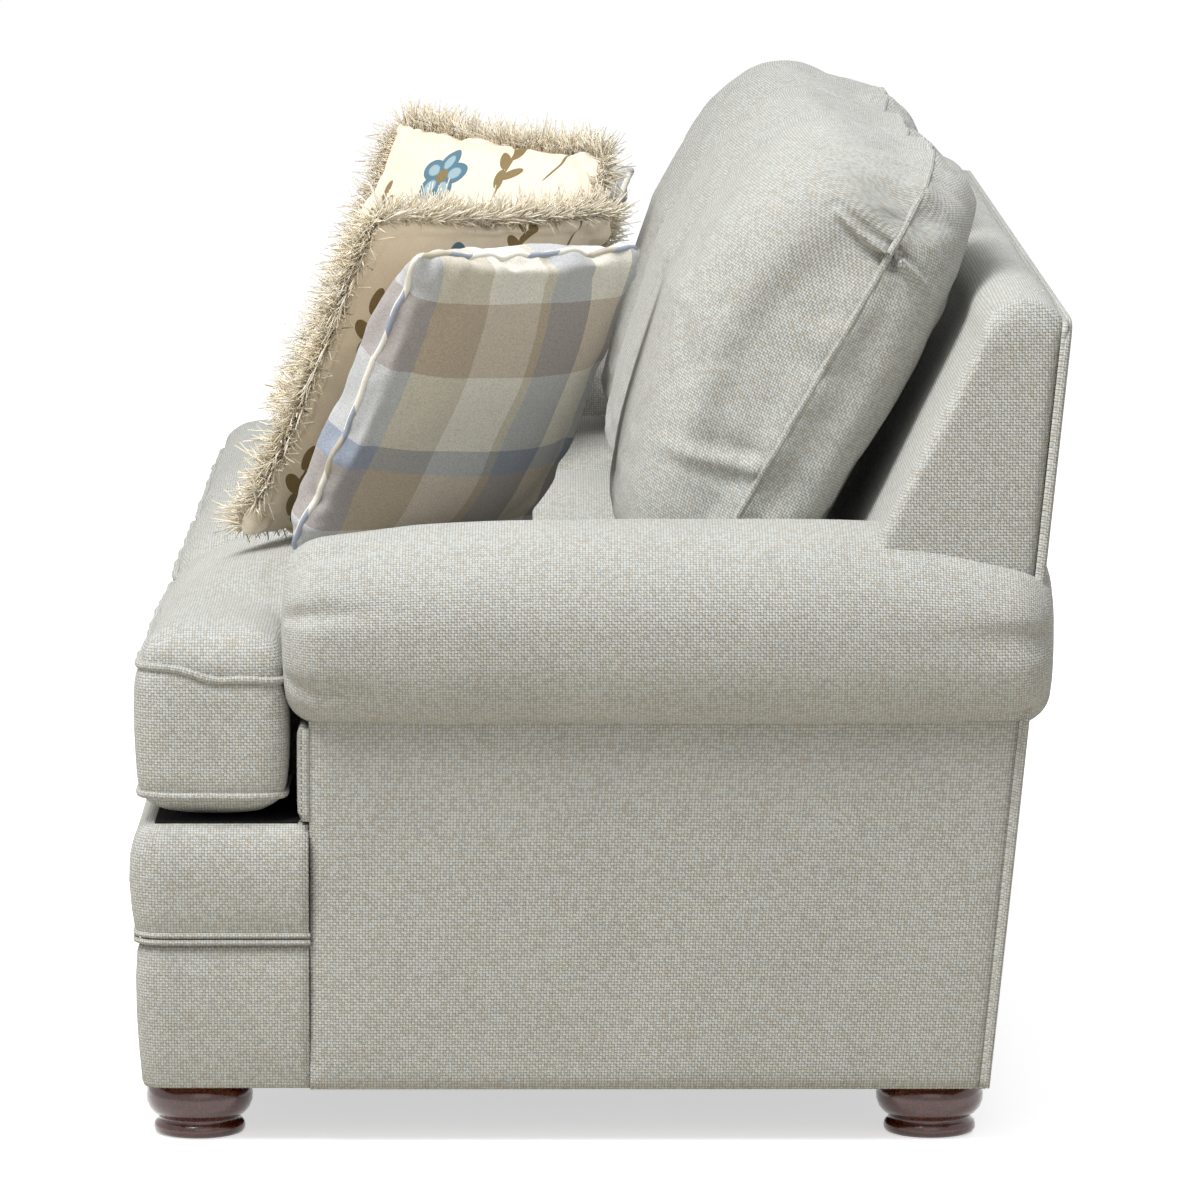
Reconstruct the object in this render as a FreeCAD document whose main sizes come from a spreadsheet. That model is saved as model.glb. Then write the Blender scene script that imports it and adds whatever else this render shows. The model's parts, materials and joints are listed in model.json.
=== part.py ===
import FreeCAD, Part
import math
import os
import Sketcher
from FreeCAD import Vector

# Three-seat rolled-arm sofa. X runs along its width, the front faces -Y and Z is up.
# The origin lies on the floor, under the middle of the sofa. "left" is the sitter's left, at +X.

SIZES = [
    # Whole sofa
    ("side_half", 1100, "outside arm panel from the middle"),
    ("front_reach", 503, "front face at the band welt, forward of the middle"),
    ("rear_low", 414, "outside back behind the middle, at the lower edge"),
    ("rear_top", 498, "outside back behind the middle, at the top seam"),
    ("top_seam", 889, "height of the seam along the top of the outside back"),
    ("crest_rise", 28, "padded crest above that seam"),
    ("seat_half", 900, "inner arm face from the middle"),
    ("deck_height", 350, "top of the deck under the seat cushions"),
    # Feet
    ("foot_height", 62, "floor to the lower edge of the upholstery"),
    ("foot_round", 58, "bun radius"),
    ("foot_ring_round", 49, "lower ring radius"),
    ("foot_ring_height", 15, "height of the lower ring"),
    ("foot_neck_round", 45, "groove between ring and bun"),
    ("foot_top_round", 50, "top of the bun"),
    ("foot_groove", 3, "height of the groove"),
    ("foot_edge", 2, "taper of the ring to the floor"),
    ("foot_side", 1020, "foot centre from the middle"),
    ("foot_front", 438, "front foot centre, forward of the middle"),
    ("foot_rear", 355, "rear foot centre, behind the middle"),
    ("centre_leg_round", 26, "radius of the hidden centre legs"),
    ("bolt_round", 4, "hanger bolt radius"),
    ("bolt_in_foot", 32, "bolt length inside the foot"),
    ("bolt_in_block", 30, "bolt length above the foot"),
    # Frame boards
    ("board", 28, "thickness of every frame board"),
    ("rail_height", 100, "height of the lower rails"),
    ("block_side", 100, "corner block, both ways"),
    ("block_height", 36, "corner block height"),
    ("post_depth", 60, "back post, front to back"),
    ("post_top", 870, "top of the back posts"),
    ("post_width", 136, "arm post, across"),
    ("post_neck", 480, "top of the arm post's straight part"),
    ("post_disc_round", 86, "rounded head of the arm post"),
    ("arm_rail_low", 500, "underside of the arm rail"),
    ("arm_rail_height", 120, "height of the arm rail"),
    ("top_rail_height", 70, "height of the rails across the back"),
    ("lower_rail_low", 400, "underside of the back's lower rail"),
    ("rail_setback", 15, "back rails behind the outside back panel"),
    ("seat_pitch", 600, "width of one seat"),
    ("spring_rail_front", 200, "front of the rail that holds the springs' rear ends"),
    ("spring_rail_height", 70, "height of that rail"),
    # Suspension
    ("wire", 4, "spring wire"),
    ("spring_half", 30, "half the width of a zigzag spring"),
    ("spring_corner", 11, "cut corner of a spring's bend"),
    ("spring_spacing", 260, "between springs"),
    ("spring_setback", 14, "spring ends inside the rails' edges"),
    ("clip_length", 26, "spring clip, across"),
    ("clip_depth", 12, "spring clip, front to back"),
    ("clip_skin", 1.5, "clip above the wire"),
    ("tie_wire", 2, "wire that ties the springs"),
    ("tie_place", 130, "tie wires from the middle of the springs"),
    ("web_width", 50, "back webbing strap"),
    ("web_thick", 2, "webbing thickness"),
    ("web_pitch", 300, "between straps"),
    ("web_lap", 10, "rail left bare beyond a strap's end"),
    ("deck_cloth", 2, "deck cloth thickness"),
    ("deck_pad_thick", 11, "pad under the deck cloth"),
    ("dust_cloth", 2, "cloth under the seat"),
    ("dust_edge", 20, "edge left bare round the dust cloth"),
    # Upholstered base
    ("band_seam", 221, "height of the welt between the two front bands"),
    ("band_swell", 4, "swell of the upper band"),
    ("band_taper", 8, "lower band drawn in at its lower edge"),
    ("band_lip", 14, "rounding along the top of the upper band"),
    ("corner_round", 22, "rounded front corners"),
    ("front_pad", 22, "padding over the front rail"),
    ("side_pad", 14, "padding over the sides"),
    ("ear_depth", 187, "front box, front to back, before the arms"),
    ("welt_round", 4, "radius of the welts"),
    ("back_skin", 6, "outside back panel"),
    # Arms
    ("roll_centre", 1042, "centre of the arm roll from the middle"),
    ("roll_height", 558, "height of that centre"),
    ("roll_round", 107, "radius of the arm roll"),
    ("roll_front", 336, "front end of the roll, forward of the middle"),
    ("roll_rear", 475, "rear end of the roll, behind the middle"),
    ("roll_soft", 26, "rounding of the roll's ends"),
    ("arm_inner_rise", 545, "height where the inner arm face starts to roll"),
    ("arm_shoulder", 44, "how far the shoulder is cut off the square corner"),
    ("arm_face_pad", 22, "padding of the inner arm face"),
    ("facing_front", 328, "arm front panel, forward of the middle"),
    ("facing_soft", 6, "softened edges of the arm front panel"),
    ("side_panel_front", 314, "front edge of the outside arm panel"),
    ("side_panel_tuck", 460, "top of the outside arm panel, under the roll"),
    # Back
    ("back_bend", 500, "height where the inside back starts to lean"),
    ("back_low_front", 195, "inside back at the deck, behind the middle"),
    ("back_bend_front", 216, "inside back at the bend"),
    ("back_top_front", 402, "inside back where the crest starts"),
    ("crest_start", 872, "height where the crest starts"),
    ("crest_peak", 446, "crest's highest line, behind the middle"),
    ("back_pad", 40, "padding of the inside back"),
    ("back_end_soft", 26, "rounded ends of the padded back"),
    ("end_tuck", 2, "padded back short of the outside panels"),
    # Seat cushions
    ("cushion_front", 502, "front of the seat cushions"),
    ("cushion_rear", 188, "rear of the seat cushions"),
    ("cushion_side", 1094, "outer side of a cushion's ear"),
    ("ear_rear", 340, "rear of the ear, forward of the middle"),
    ("cushion_gap", 5, "between neighbouring cushions"),
    ("cushion_round", 26, "rounded corners of the cushions"),
    ("lower_welt", 374, "height of the lower welt"),
    ("upper_welt", 516, "height of the upper welt"),
    ("boxing_swell", 2, "swell of the boxing between the welts"),
    ("ear_crown", 566, "top of a cushion near its edges"),
    ("seat_crown", 592, "top of a cushion in the middle"),
    ("crown_inset", 60, "edge of the crown's flat part"),
    ("dome_edge", 46, "start of the middle dome from the sides"),
    ("dome_rear", 12, "start of the middle dome from the rear"),
    ("dome_run", 110, "run of the dome to its top"),
    ("core_inset", 34, "foam core inside the cushion's outline"),
    ("core_skin", 18, "wrap above and below the core"),
    ("rest_gap", 0.4, "clearance where soft pieces rest"),
    # Back cushions
    ("back_cushion_half", 297, "half the width of a back cushion"),
    ("back_cushion_place", 250, "seam plane's centre, behind the middle"),
    ("back_cushion_height", 833, "height of that centre"),
    ("back_cushion_low", 268, "seam below that centre, along the lean"),
    ("back_cushion_top", 242, "seam above that centre, along the lean"),
    ("back_cushion_round", 62, "rounded corners of the seam"),
    ("back_belly_front", 200, "front crown from the seam plane"),
    ("back_belly_rear", 104, "rear crown from the seam plane"),
    ("fill_inset", 46, "filling inside the back cushion's seam"),
    # Throw pillows
    ("plaid_half", 200, "half the side of a plaid pillow"),
    ("plaid_thick", 58, "half the thickness of a plaid pillow"),
    ("floral_half", 208, "half the side of a fringed pillow"),
    ("floral_thick", 42, "half the thickness of a fringed pillow"),
    ("pillow_corner", 16, "rounded corners of the pillows"),
    ("fringe_width", 30, "brush fringe beyond the seam"),
    ("fringe_thick", 7, "thickness of the fringe at the seam"),
    ("plaid_place", 690, "plaid pillow's centre from the middle"),
    ("plaid_forward", 166, "plaid pillow's centre, forward of the middle"),
    ("settle_reach", 60, "how far the pillows start from their rest"),
    ("floral_place", 536, "fringed pillow's centre from the middle"),
    ("floral_forward", 218, "fringed pillow's centre, forward of the middle"),
]

back_cushion_lean = 30.0
pillow_turn = 48.0
pillow_lean = 27.0
pillow_roll = 3.0
spring_bends = 7
springs_across = 7
straps_across = 6
tolerance = 0.001
settle_steps = 13
corner_steps = 3
welt_sides = 8

# Each crown is a list of shares: of the thickness, and of the inset from the seam.
under_shares = [(0.0, 1.0), (0.3, 0.45), (1.0, 0.0)]
over_shares = [(0.0, 0.0), (0.50, 0.16), (0.82, 0.48), (1.0, 1.0)]
dome_shares = [(0.0, 0.0), (0.50, 0.18), (0.82, 0.50), (1.0, 1.0)]
dome_start_share = 0.66
front_belly_shares = [(0.0, 0.0), (0.28, 0.0), (0.55, 0.07), (0.76, 0.22), (0.91, 0.46), (0.98, 0.72),
                      (1.0, 1.0)]
rear_belly_shares = [(1.0, 0.62), (0.93, 0.36), (0.70, 0.12), (0.38, 0.02)]
pillow_belly_shares = [(0.36, 0.05), (0.66, 0.14), (0.88, 0.31), (0.98, 0.52), (1.0, 0.74)]
belly_inset_share = 0.72
corner_room_share = 0.8
bun_low_share = 0.34
bun_high_share = 0.66
shoulder_in_share = 0.76
shoulder_down_share = 0.70
dust_front_share = 0.5
dust_rear_share = 0.25
taper_middle_share = 0.25
swell_shoulder_share = 0.5
crest_share = 0.5
steep_share = 0.5
lip_share = 0.5
end_round_shares = [(0.0, 0.0), (0.68, 0.26), (1.0, 0.86)]


class Size:
    """A length with its value and the expression that ties it to the sheet."""

    def __init__(self, text, value):
        self.text = text
        self.value = value

    def join(self, sign, other, value):
        text = other.text if isinstance(other, Size) else repr(other)
        return Size(f"({self.text} {sign} {text})", value)

    def __add__(self, other):
        return self.join("+", other, self.value + float(other))

    def __sub__(self, other):
        return self.join("-", other, self.value - float(other))

    def __mul__(self, other):
        return self.join("*", other, self.value * float(other))

    def __truediv__(self, other):
        return self.join("/", other, self.value / float(other))

    def __neg__(self):
        return Size(f"(0 - {self.text})", -self.value)

    def __float__(self):
        return float(self.value)


zero = Size("0", 0.0)

doc = FreeCAD.newDocument("sofa")
sheet = doc.addObject("Spreadsheet::Sheet", "Sizes")
for row, (alias, number, note) in enumerate(SIZES, start=1):
    sheet.set(f"A{row}", note)
    sheet.set(f"B{row}", str(number))
    sheet.setAlias(f"B{row}", alias)
doc.recompute()


class Sizes:
    """Looks a size up in the sheet by its alias."""

    def __getattr__(self, alias):
        return Size(f"Sizes.{alias}", float(getattr(sheet, alias)))


s = Sizes()
nodes = {}


def keep(label, item):
    """Names a finished sub-part; its label names its file."""
    item.Label = label
    nodes[label] = item
    return item


def vec(x, y, z):
    return Vector(float(x), float(y), float(z))


def rear_at(height):
    """Outside back, behind the middle, at a height."""
    return s.rear_low + (height - s.foot_height) * (s.rear_top - s.rear_low) / (s.top_seam - s.foot_height)


def post_rear(height):
    return rear_at(height) - s.back_skin


def rail_rear(height):
    return post_rear(height) - s.rail_setback


# Helpers: bound primitives, sketches and soft forms

def bind(item, name, size):
    item.setExpression(name, size.text)


def box(name, x, y, z):
    """A box between low and high sizes on each axis."""
    item = doc.addObject("Part::Box", name)
    for edge, axis, (low, high) in (("Length", "x", x), ("Width", "y", y), ("Height", "z", z)):
        bind(item, edge, high - low)
        bind(item, f"Placement.Base.{axis}", low)
    return item


def upright(name, radius, x, y, low, high):
    """A vertical cylinder."""
    item = doc.addObject("Part::Cylinder", name)
    bind(item, "Radius", radius)
    bind(item, "Height", high - low)
    for axis, place in (("x", x), ("y", y), ("z", low)):
        bind(item, f"Placement.Base.{axis}", place)
    return item


def bolt_hole(name, x, y, low, high):
    """A six-sided hole for a bolt, its flats touching the bolt."""
    item = doc.addObject("Part::Prism", name)
    item.Polygon = 6
    bind(item, "Circumradius", s.bolt_round / math.cos(math.pi / 6))
    bind(item, "Height", high - low)
    for axis, place in (("x", x), ("y", y), ("z", low)):
        bind(item, f"Placement.Base.{axis}", place)
    return item


def lying(name, radius, x, z, rear, front):
    """A cylinder along Y, from its rear end forwards."""
    item = doc.addObject("Part::Cylinder", name)
    bind(item, "Radius", radius)
    bind(item, "Height", rear - front)
    item.Placement.Rotation = FreeCAD.Rotation(Vector(1, 0, 0), 90)
    for axis, place in (("x", x), ("y", rear), ("z", z)):
        bind(item, f"Placement.Base.{axis}", place)
    return item


def fuse(name, items):
    item = doc.addObject("Part::MultiFuse", name)
    item.Shapes = items
    return item


def group(name, items):
    """Separate solids of one kind, kept as one node."""
    item = doc.addObject("Part::Compound", name)
    item.Links = items
    return item


def cut(name, base, tool):
    item = doc.addObject("Part::Cut", name)
    item.Base = base
    item.Tool = tool
    return item


def origin_plane(body, role):
    return next(plane for plane in body.Origin.OriginFeatures if plane.Role == role)


def sketch_on(body, role, offset):
    sketch = body.newObject("Sketcher::SketchObject", body.Name + "Sketch")
    sketch.AttachmentSupport = (origin_plane(body, role), [""])
    sketch.MapMode = "FlatFace"
    bind(sketch, "AttachmentOffset.Base.z", offset)
    return sketch


def outline_sketch(body, role, offset, points):
    """A closed outline of straight lines, each corner tied to its sizes."""
    sketch = sketch_on(body, role, offset)
    flat = [vec(x, y, zero) for x, y in points]
    lines = [sketch.addGeometry(Part.LineSegment(a, b)) for a, b in zip(flat, flat[1:] + flat[:1])]
    for i, line in enumerate(lines):
        following = lines[(i + 1) % len(lines)]
        sketch.addConstraint(Sketcher.Constraint("Coincident", line, 2, following, 1))
        for kind, size in (("DistanceX", points[i][0]), ("DistanceY", points[i][1])):
            index = sketch.addConstraint(Sketcher.Constraint(kind, -1, 1, line, 1, float(size)))
            bind(sketch, f"Constraints[{index}]", size)
    return sketch


def padded_profile(name, role, points, start, length):
    """A body with one outline pulled along its plane's normal."""
    body = doc.addObject("PartDesign::Body", name)
    sketch = outline_sketch(body, role, start, points)
    pad = body.newObject("PartDesign::Pad", name + "Pad")
    pad.Profile = sketch
    bind(pad, "Length", length)
    sketch.Visibility = False
    return body


def across_profile(name, points, low, high):
    """A Y-Z outline between two places across the sofa."""
    return padded_profile(name, "YZ_Plane", points, low, high - low)


def shaped(name, shape):
    """A soft form that Part's own functions make from the sheet's sizes."""
    item = doc.addObject("Part::Feature", name)
    item.Shape = shape
    return item


def mirrored(shape):
    return shape.mirror(Vector(0, 0, 0), Vector(1, 0, 0))


def solid_of(shape):
    """The shape as one solid, or as a compound of solids where a cut left several."""
    solids = shape.Solids
    return solids[0] if len(solids) == 1 else Part.makeCompound(solids)


def carve(shape, tools):
    """Cuts each tool out in turn."""
    for tool in tools:
        shape = shape.cut(tool)
    return solid_of(shape)


def corner_points(before, here, following, radius):
    """Points round one rounded corner of an outline."""
    back, ahead = (before - here).normalize(), (following - here).normalize()
    half = math.acos(back.dot(ahead)) / 2
    centre = here + (back + ahead).normalize() * (radius / math.sin(half))
    start = here + back * (radius / math.tan(half)) - centre
    sweep = math.degrees(math.pi - half * 2)
    if back.cross(ahead).z > 0:
        sweep = -sweep
    angles = [sweep * step / corner_steps for step in range(corner_steps + 1)]
    return [centre + FreeCAD.Rotation(Vector(0, 0, 1), angle).multVec(start) for angle in angles]


def soft_outline(points, radii, height=0.0):
    """Points of an outline with rounded corners at a height."""
    lift = Vector(0, 0, height)
    rounded = []
    for i, here in enumerate(points):
        following = points[(i + 1) % len(points)]
        rounded += [place + lift for place in corner_points(points[i - 1], here, following, radii[i])]
    return rounded


def face_of(points):
    return Part.Face(Part.makePolygon(points + [points[0]]))


def banded(rings):
    """A solid with flat bands from ring to ring and a flat face at each end."""
    count = len(rings[0])
    faces = [face_of(rings[0]), face_of(rings[-1])]
    for low, high in zip(rings, rings[1:]):
        for i in range(count):
            following = (i + 1) % count
            faces.append(face_of([low[i], low[following], high[following], high[i]]))
    solid = Part.Solid(Part.Shell(faces))
    if solid.Volume < 0:
        solid.reverse()
    return solid


def loft(wires):
    """A solid through outlines that have arcs."""
    shape = Part.makeLoft(wires, True, True)
    if shape.Volume < 0:
        shape.reverse()
    return shape


def extruded(points, direction):
    """A straight-sided solid from an outline."""
    return face_of(points).extrude(direction)


# Levels that many pieces share
wood_low = s.foot_height + s.dust_cloth
deck_pad_top = s.deck_height - s.deck_cloth
deck_pad_low = deck_pad_top - s.deck_pad_thick
spring_low = deck_pad_low - s.tie_wire - s.wire
rail_front = -(s.front_reach - s.front_pad)
rail_back = rail_front + s.board
rail_side = s.side_half - s.side_pad
rail_inner = rail_side - s.board
post_inner = rail_inner - s.board
ear_back = -s.front_reach + s.ear_depth
post_front = -s.side_panel_front + s.side_pad
post_back = post_front + s.board


def wooden_frame():
    """Rails, posts and blocks, each a board of its own."""
    rail_top = wood_low + s.rail_height
    rear = rail_rear(wood_low)
    bolt_top = s.foot_height + s.bolt_in_block
    front = box("FrontBoard", (-rail_side, rail_side), (rail_front, rail_back), (wood_low, spring_low))
    front_hole = bolt_hole("FrontRailBore", zero, rail_back - s.board / 2, wood_low, bolt_top)
    keep("front_rail", cut("FrontRail", front, front_hole))
    back = box("RearBoard", (-post_inner, post_inner), (rear - s.board, rear), (wood_low, rail_top))
    back_hole = bolt_hole("RearRailBore", zero, rear - s.board / 2, wood_low, bolt_top)
    keep("rear_rail", cut("RearRail", back, back_hole))
    rail_points = [
        (rail_back, wood_low), (rear, wood_low), (rear, rail_top),
        (post_front, rail_top), (post_front, spring_low), (rail_back, spring_low),
    ]
    keep("side_rail_left", across_profile("SideRailLeft", rail_points, rail_inner, rail_side))
    keep("side_rail_right", across_profile("SideRailRight", rail_points, -rail_side, -rail_inner))
    stretcher_low = wood_low + s.block_height
    stretcher_top = spring_low - s.spring_rail_height
    stretchers = []
    for place, centre in enumerate((-(s.seat_half), -(s.seat_pitch / 2), s.seat_pitch / 2, s.seat_half)):
        inner = centre - s.board / 2
        stretchers.append(box(f"Stretcher{place}", (inner, inner + s.board), (rail_back, rear - s.board),
                              (stretcher_low, stretcher_top)))
    keep("seat_stretchers", group("Stretchers", stretchers))
    reach = s.seat_half + s.board / 2
    front = s.spring_rail_front
    keep("spring_rail", box("SpringRail", (-reach, reach), (front, front + s.board), (stretcher_top, spring_low)))
    for side, sign in (("left", 1), ("right", -1)):
        arm_post(side, sign, rail_inner)
        arm_rail(side, sign, post_inner)
        back_post(side, sign)
    back_rails()


def sided(sign, low, high):
    """A range across the sofa, on the left or mirrored to the right."""
    return (low, high) if sign > 0 else (-high, -low)


def arm_post(side, sign, outer):
    stem = box(f"PostStem_{side}", sided(sign, outer - s.post_width, outer), (post_front, post_back),
               (wood_low, s.post_neck))
    centre = s.roll_centre if sign > 0 else -s.roll_centre
    head = lying(f"PostHead_{side}", s.post_disc_round, centre, s.roll_height, post_back, post_front)
    keep(f"arm_post_{side}", fuse(f"ArmPost_{side}", [stem, head]))


def arm_rail(side, sign, outer):
    keep(f"arm_rail_{side}", box(
        f"ArmRail_{side}", sided(sign, outer - s.board, outer), (post_back, post_rear(s.arm_rail_low)),
        (s.arm_rail_low, s.arm_rail_low + s.arm_rail_height)))


def back_post(side, sign):
    low, high = wood_low, s.post_top
    points = [
        (post_rear(low) - s.post_depth, low), (post_rear(low), low),
        (post_rear(high), high), (post_rear(high) - s.post_depth, high),
    ]
    low_x, high_x = sided(sign, post_inner, rail_inner)
    keep(f"back_post_{side}", across_profile(f"BackPost_{side}", points, low_x, high_x))


def back_rails():
    """Rails across the back, the studs between them and the webbing on their faces."""
    low = s.lower_rail_low
    low_top = low + s.top_rail_height
    high = s.post_top - s.top_rail_height
    low_rear, high_rear = rail_rear(low), rail_rear(high)
    across = (-post_inner, post_inner)
    keep("back_lower_rail", box("LowerRail", across, (low_rear - s.board, low_rear), (low, low_top)))
    keep("back_top_rail", box("TopRail", across, (high_rear - s.board, high_rear), (high, s.post_top)))
    stud = [
        (low_rear - s.board, low_top), (low_rear, low_top), (high_rear, high), (high_rear - s.board, high),
    ]
    half = s.board / 2
    middles = (s.seat_pitch / 2, -(s.seat_pitch / 2))
    studs = [across_profile(f"Stud{i}", stud, x - half, x + half) for i, x in enumerate(middles)]
    keep("back_studs", group("Studs", studs))
    low_face, high_face = low_rear - s.board, high_rear - s.board
    strap = [
        (low_face - s.web_thick, low + s.web_lap), (low_face, low + s.web_lap), (low_face, low_top),
        (high_face, high), (high_face, s.post_top - s.web_lap),
        (high_face - s.web_thick, s.post_top - s.web_lap), (high_face - s.web_thick, high),
        (low_face - s.web_thick, low_top),
    ]
    straps = []
    half = s.web_width / 2
    for i in range(straps_across):
        middle = s.web_pitch * (i - (straps_across - 1) / 2)
        straps.append(across_profile(f"Strap{i}", strap, middle - half, middle + half))
    keep("back_webbing", group("Webbing", straps))


def foot_places():
    front, rear = -s.foot_front, s.foot_rear
    return [("front_left", s.foot_side, front), ("front_right", -s.foot_side, front),
            ("rear_left", s.foot_side, rear), ("rear_right", -s.foot_side, rear)]


def foot(label, x, y):
    """Turned bun foot over a lower ring, bored for its hanger bolt."""
    body = doc.addObject("PartDesign::Body", "Foot_" + label)
    ring = s.foot_ring_height
    groove = ring + s.foot_groove
    bore = s.foot_height - s.bolt_in_foot
    rise = s.foot_height - groove
    points = [
        (zero, zero), (s.foot_ring_round - s.foot_edge, zero), (s.foot_ring_round, ring),
        (s.foot_neck_round, groove),
        (s.foot_round, groove + rise * bun_low_share), (s.foot_round, groove + rise * bun_high_share),
        (s.foot_top_round, s.foot_height), (s.bolt_round, s.foot_height), (s.bolt_round, bore), (zero, bore),
    ]
    sketch = outline_sketch(body, "XZ_Plane", zero, points)
    turned = body.newObject("PartDesign::Revolution", "Turned_" + label)
    turned.Profile = sketch
    turned.ReferenceAxis = (sketch, ["V_Axis"])
    turned.Angle = 360
    bind(body, "Placement.Base.x", x)
    bind(body, "Placement.Base.y", y)
    return body


def feet_and_fixings():
    """Feet, centre legs, corner blocks, dust cover and the bolts through them."""
    bolt_low = s.foot_height - s.bolt_in_foot
    bolt_top = s.foot_height + s.bolt_in_block
    places = foot_places()
    centre_x = zero
    leg_front = (rail_front + rail_back) / 2
    leg_rear = rail_rear(wood_low) - s.board / 2
    legs = []
    feet = [foot(name, x, y) for name, x, y in places]
    keep("front_feet", group("FrontFeet", feet[:2]))
    keep("rear_feet", group("RearFeet", feet[2:]))
    for name, y in (("Front", leg_front), ("Rear", leg_rear)):
        leg = upright(f"CentreLeg{name}", s.centre_leg_round, centre_x, y, zero, s.foot_height)
        bore = bolt_hole(f"LegBore{name}", centre_x, y, bolt_low, s.foot_height)
        legs.append(cut(f"BoredLeg{name}", leg, bore))
    keep("centre_legs", group("CentreLegs", legs))
    spots = [(x, y) for name, x, y in places] + [(centre_x, leg_front), (centre_x, leg_rear)]
    bolts = [upright(f"Bolt{i}", s.bolt_round, x, y, bolt_low, bolt_top) for i, (x, y) in enumerate(spots)]
    keep("foot_bolts", group("Bolts", bolts))
    rear_face = rail_rear(wood_low) - s.board
    block_y = {"front": (rail_back, rail_back + s.block_side), "rear": (rear_face - s.block_side, rear_face)}
    block_x = {"front": rail_inner, "rear": post_inner}
    blocks = []
    for name, x, y in places:
        end = name.split("_")[0]
        outer = block_x[end]
        block = box(f"Block_{name}", sided(1 if float(x) > 0 else -1, outer - s.block_side, outer),
                    block_y[end], (wood_low, wood_low + s.block_height))
        hole = bolt_hole(f"BlockBore_{name}", x, y, wood_low, bolt_top)
        blocks.append(cut(f"BoredBlock_{name}", block, hole))
    keep("corner_blocks", group("Blocks", blocks))
    edge = s.dust_edge
    sheet_box = box("DustSheet", (-rail_side + edge, rail_side - edge),
                    (rail_front + edge * dust_front_share, rail_rear(wood_low) - edge * dust_rear_share),
                    (s.foot_height, wood_low))
    bores = [bolt_hole(f"DustBore{i}", x, y, s.foot_height, wood_low) for i, (x, y) in enumerate(spots)]
    holes = fuse("DustBores", bores)
    keep("dust_cover", cut("DustCover", sheet_box, holes))


def beside(points, offset):
    """A flat line of points moved sideways, its corners mitred."""
    moved = []
    for i, here in enumerate(points):
        before = (here - points[i - 1]).normalize() if i > 0 else None
        after = (points[i + 1] - here).normalize() if i < len(points) - 1 else before
        before = before or after
        bisector = Vector(-(before.y + after.y), before.x + after.x, 0).normalize()
        across = Vector(-before.y, before.x, 0)
        moved.append(here + bisector * (offset / bisector.dot(across)))
    return moved


def zigzag(x, start, end, low):
    """One sinuous spring: a flat run of bends with cut corners, wire as thick as it is wide."""
    step = (end - start) / spring_bends
    half = float(s.spring_half)
    corner = float(s.spring_corner)
    points = []
    for bend in range(spring_bends + 1):
        y = start + bend * step
        side = 1 if bend % 2 == 0 else -1
        first = Vector(x - side * half, y, low)
        last = Vector(x + side * half, y, low)
        inset = Vector(side * corner, 0, 0)
        rise = Vector(0, corner, 0)
        points += [first - rise, first + inset] if bend > 0 else [first]
        points += [last - inset, last + rise] if bend < spring_bends else [last]
    wire = float(s.wire)
    outline = beside(points, wire / 2) + list(reversed(beside(points, -wire / 2)))
    return extruded(outline, Vector(0, 0, wire))


def suspension():
    """Zigzag springs between two rails, their clips and the wires that tie them."""
    start = float(rail_back - s.spring_setback)
    end = float(s.spring_rail_front + s.spring_setback)
    low = float(spring_low)
    middle = (springs_across - 1) / 2
    places = [(i - middle) * float(s.spring_spacing) for i in range(springs_across)]
    springs = [zigzag(x, start, end, low) for x in places]
    keep("seat_springs", shaped("Springs", Part.makeCompound(springs)))
    length, depth = float(s.clip_length), float(s.clip_depth)
    height = float(s.wire + s.clip_skin)
    clips = []
    for x, spring in zip(places, springs):
        for y in (start, end):
            clip = Part.makeBox(length, depth, height, Vector(x - length / 2, y - depth / 2, low))
            clips.append(solid_of(clip.cut(spring)))
    keep("spring_clips", shaped("Clips", Part.makeCompound(clips)))
    reach = s.spring_spacing * middle + s.spring_half
    centre = (rail_back - s.spring_setback + s.spring_rail_front + s.spring_setback) / 2
    ties = []
    for place in (centre - s.tie_place, centre + s.tie_place):
        ties.append(box(f"Tie{len(ties)}", (-reach, reach), (place, place + s.tie_wire),
                        (spring_low + s.wire, deck_pad_low)))
    keep("spring_ties", group("Ties", ties))


def deck():
    """T-shaped pad and cloth over the springs."""
    ear = rail_side
    front = rail_front
    back = -s.facing_front
    points = [
        (-ear, front), (ear, front), (ear, back), (s.seat_half, back), (s.seat_half, s.back_low_front),
        (-s.seat_half, s.back_low_front), (-s.seat_half, back), (-ear, back),
    ]
    keep("deck_pad", padded_profile("DeckPad", "XY_Plane", points, deck_pad_low, s.deck_pad_thick))
    keep("seat_deck", padded_profile("SeatDeck", "XY_Plane", points, deck_pad_top, s.deck_cloth))


def welt_run(points):
    """Piping along a run of points, mitred where it turns."""
    ahead = (points[1] - points[0]).normalize()
    across = ahead.cross(Vector(0, 0, 1)) if abs(ahead.z) < steep_share else ahead.cross(Vector(1, 0, 0))
    across = across.normalize() * float(s.welt_round)
    ring = []
    for i in range(welt_sides):
        turn = FreeCAD.Rotation(ahead, 360 * i / welt_sides)
        ring.append(points[0] + turn.multVec(across))
    profile = Part.makePolygon(ring + [ring[0]])
    return Part.makePolygon(points).makePipeShell([profile], True, False, 1)


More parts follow.
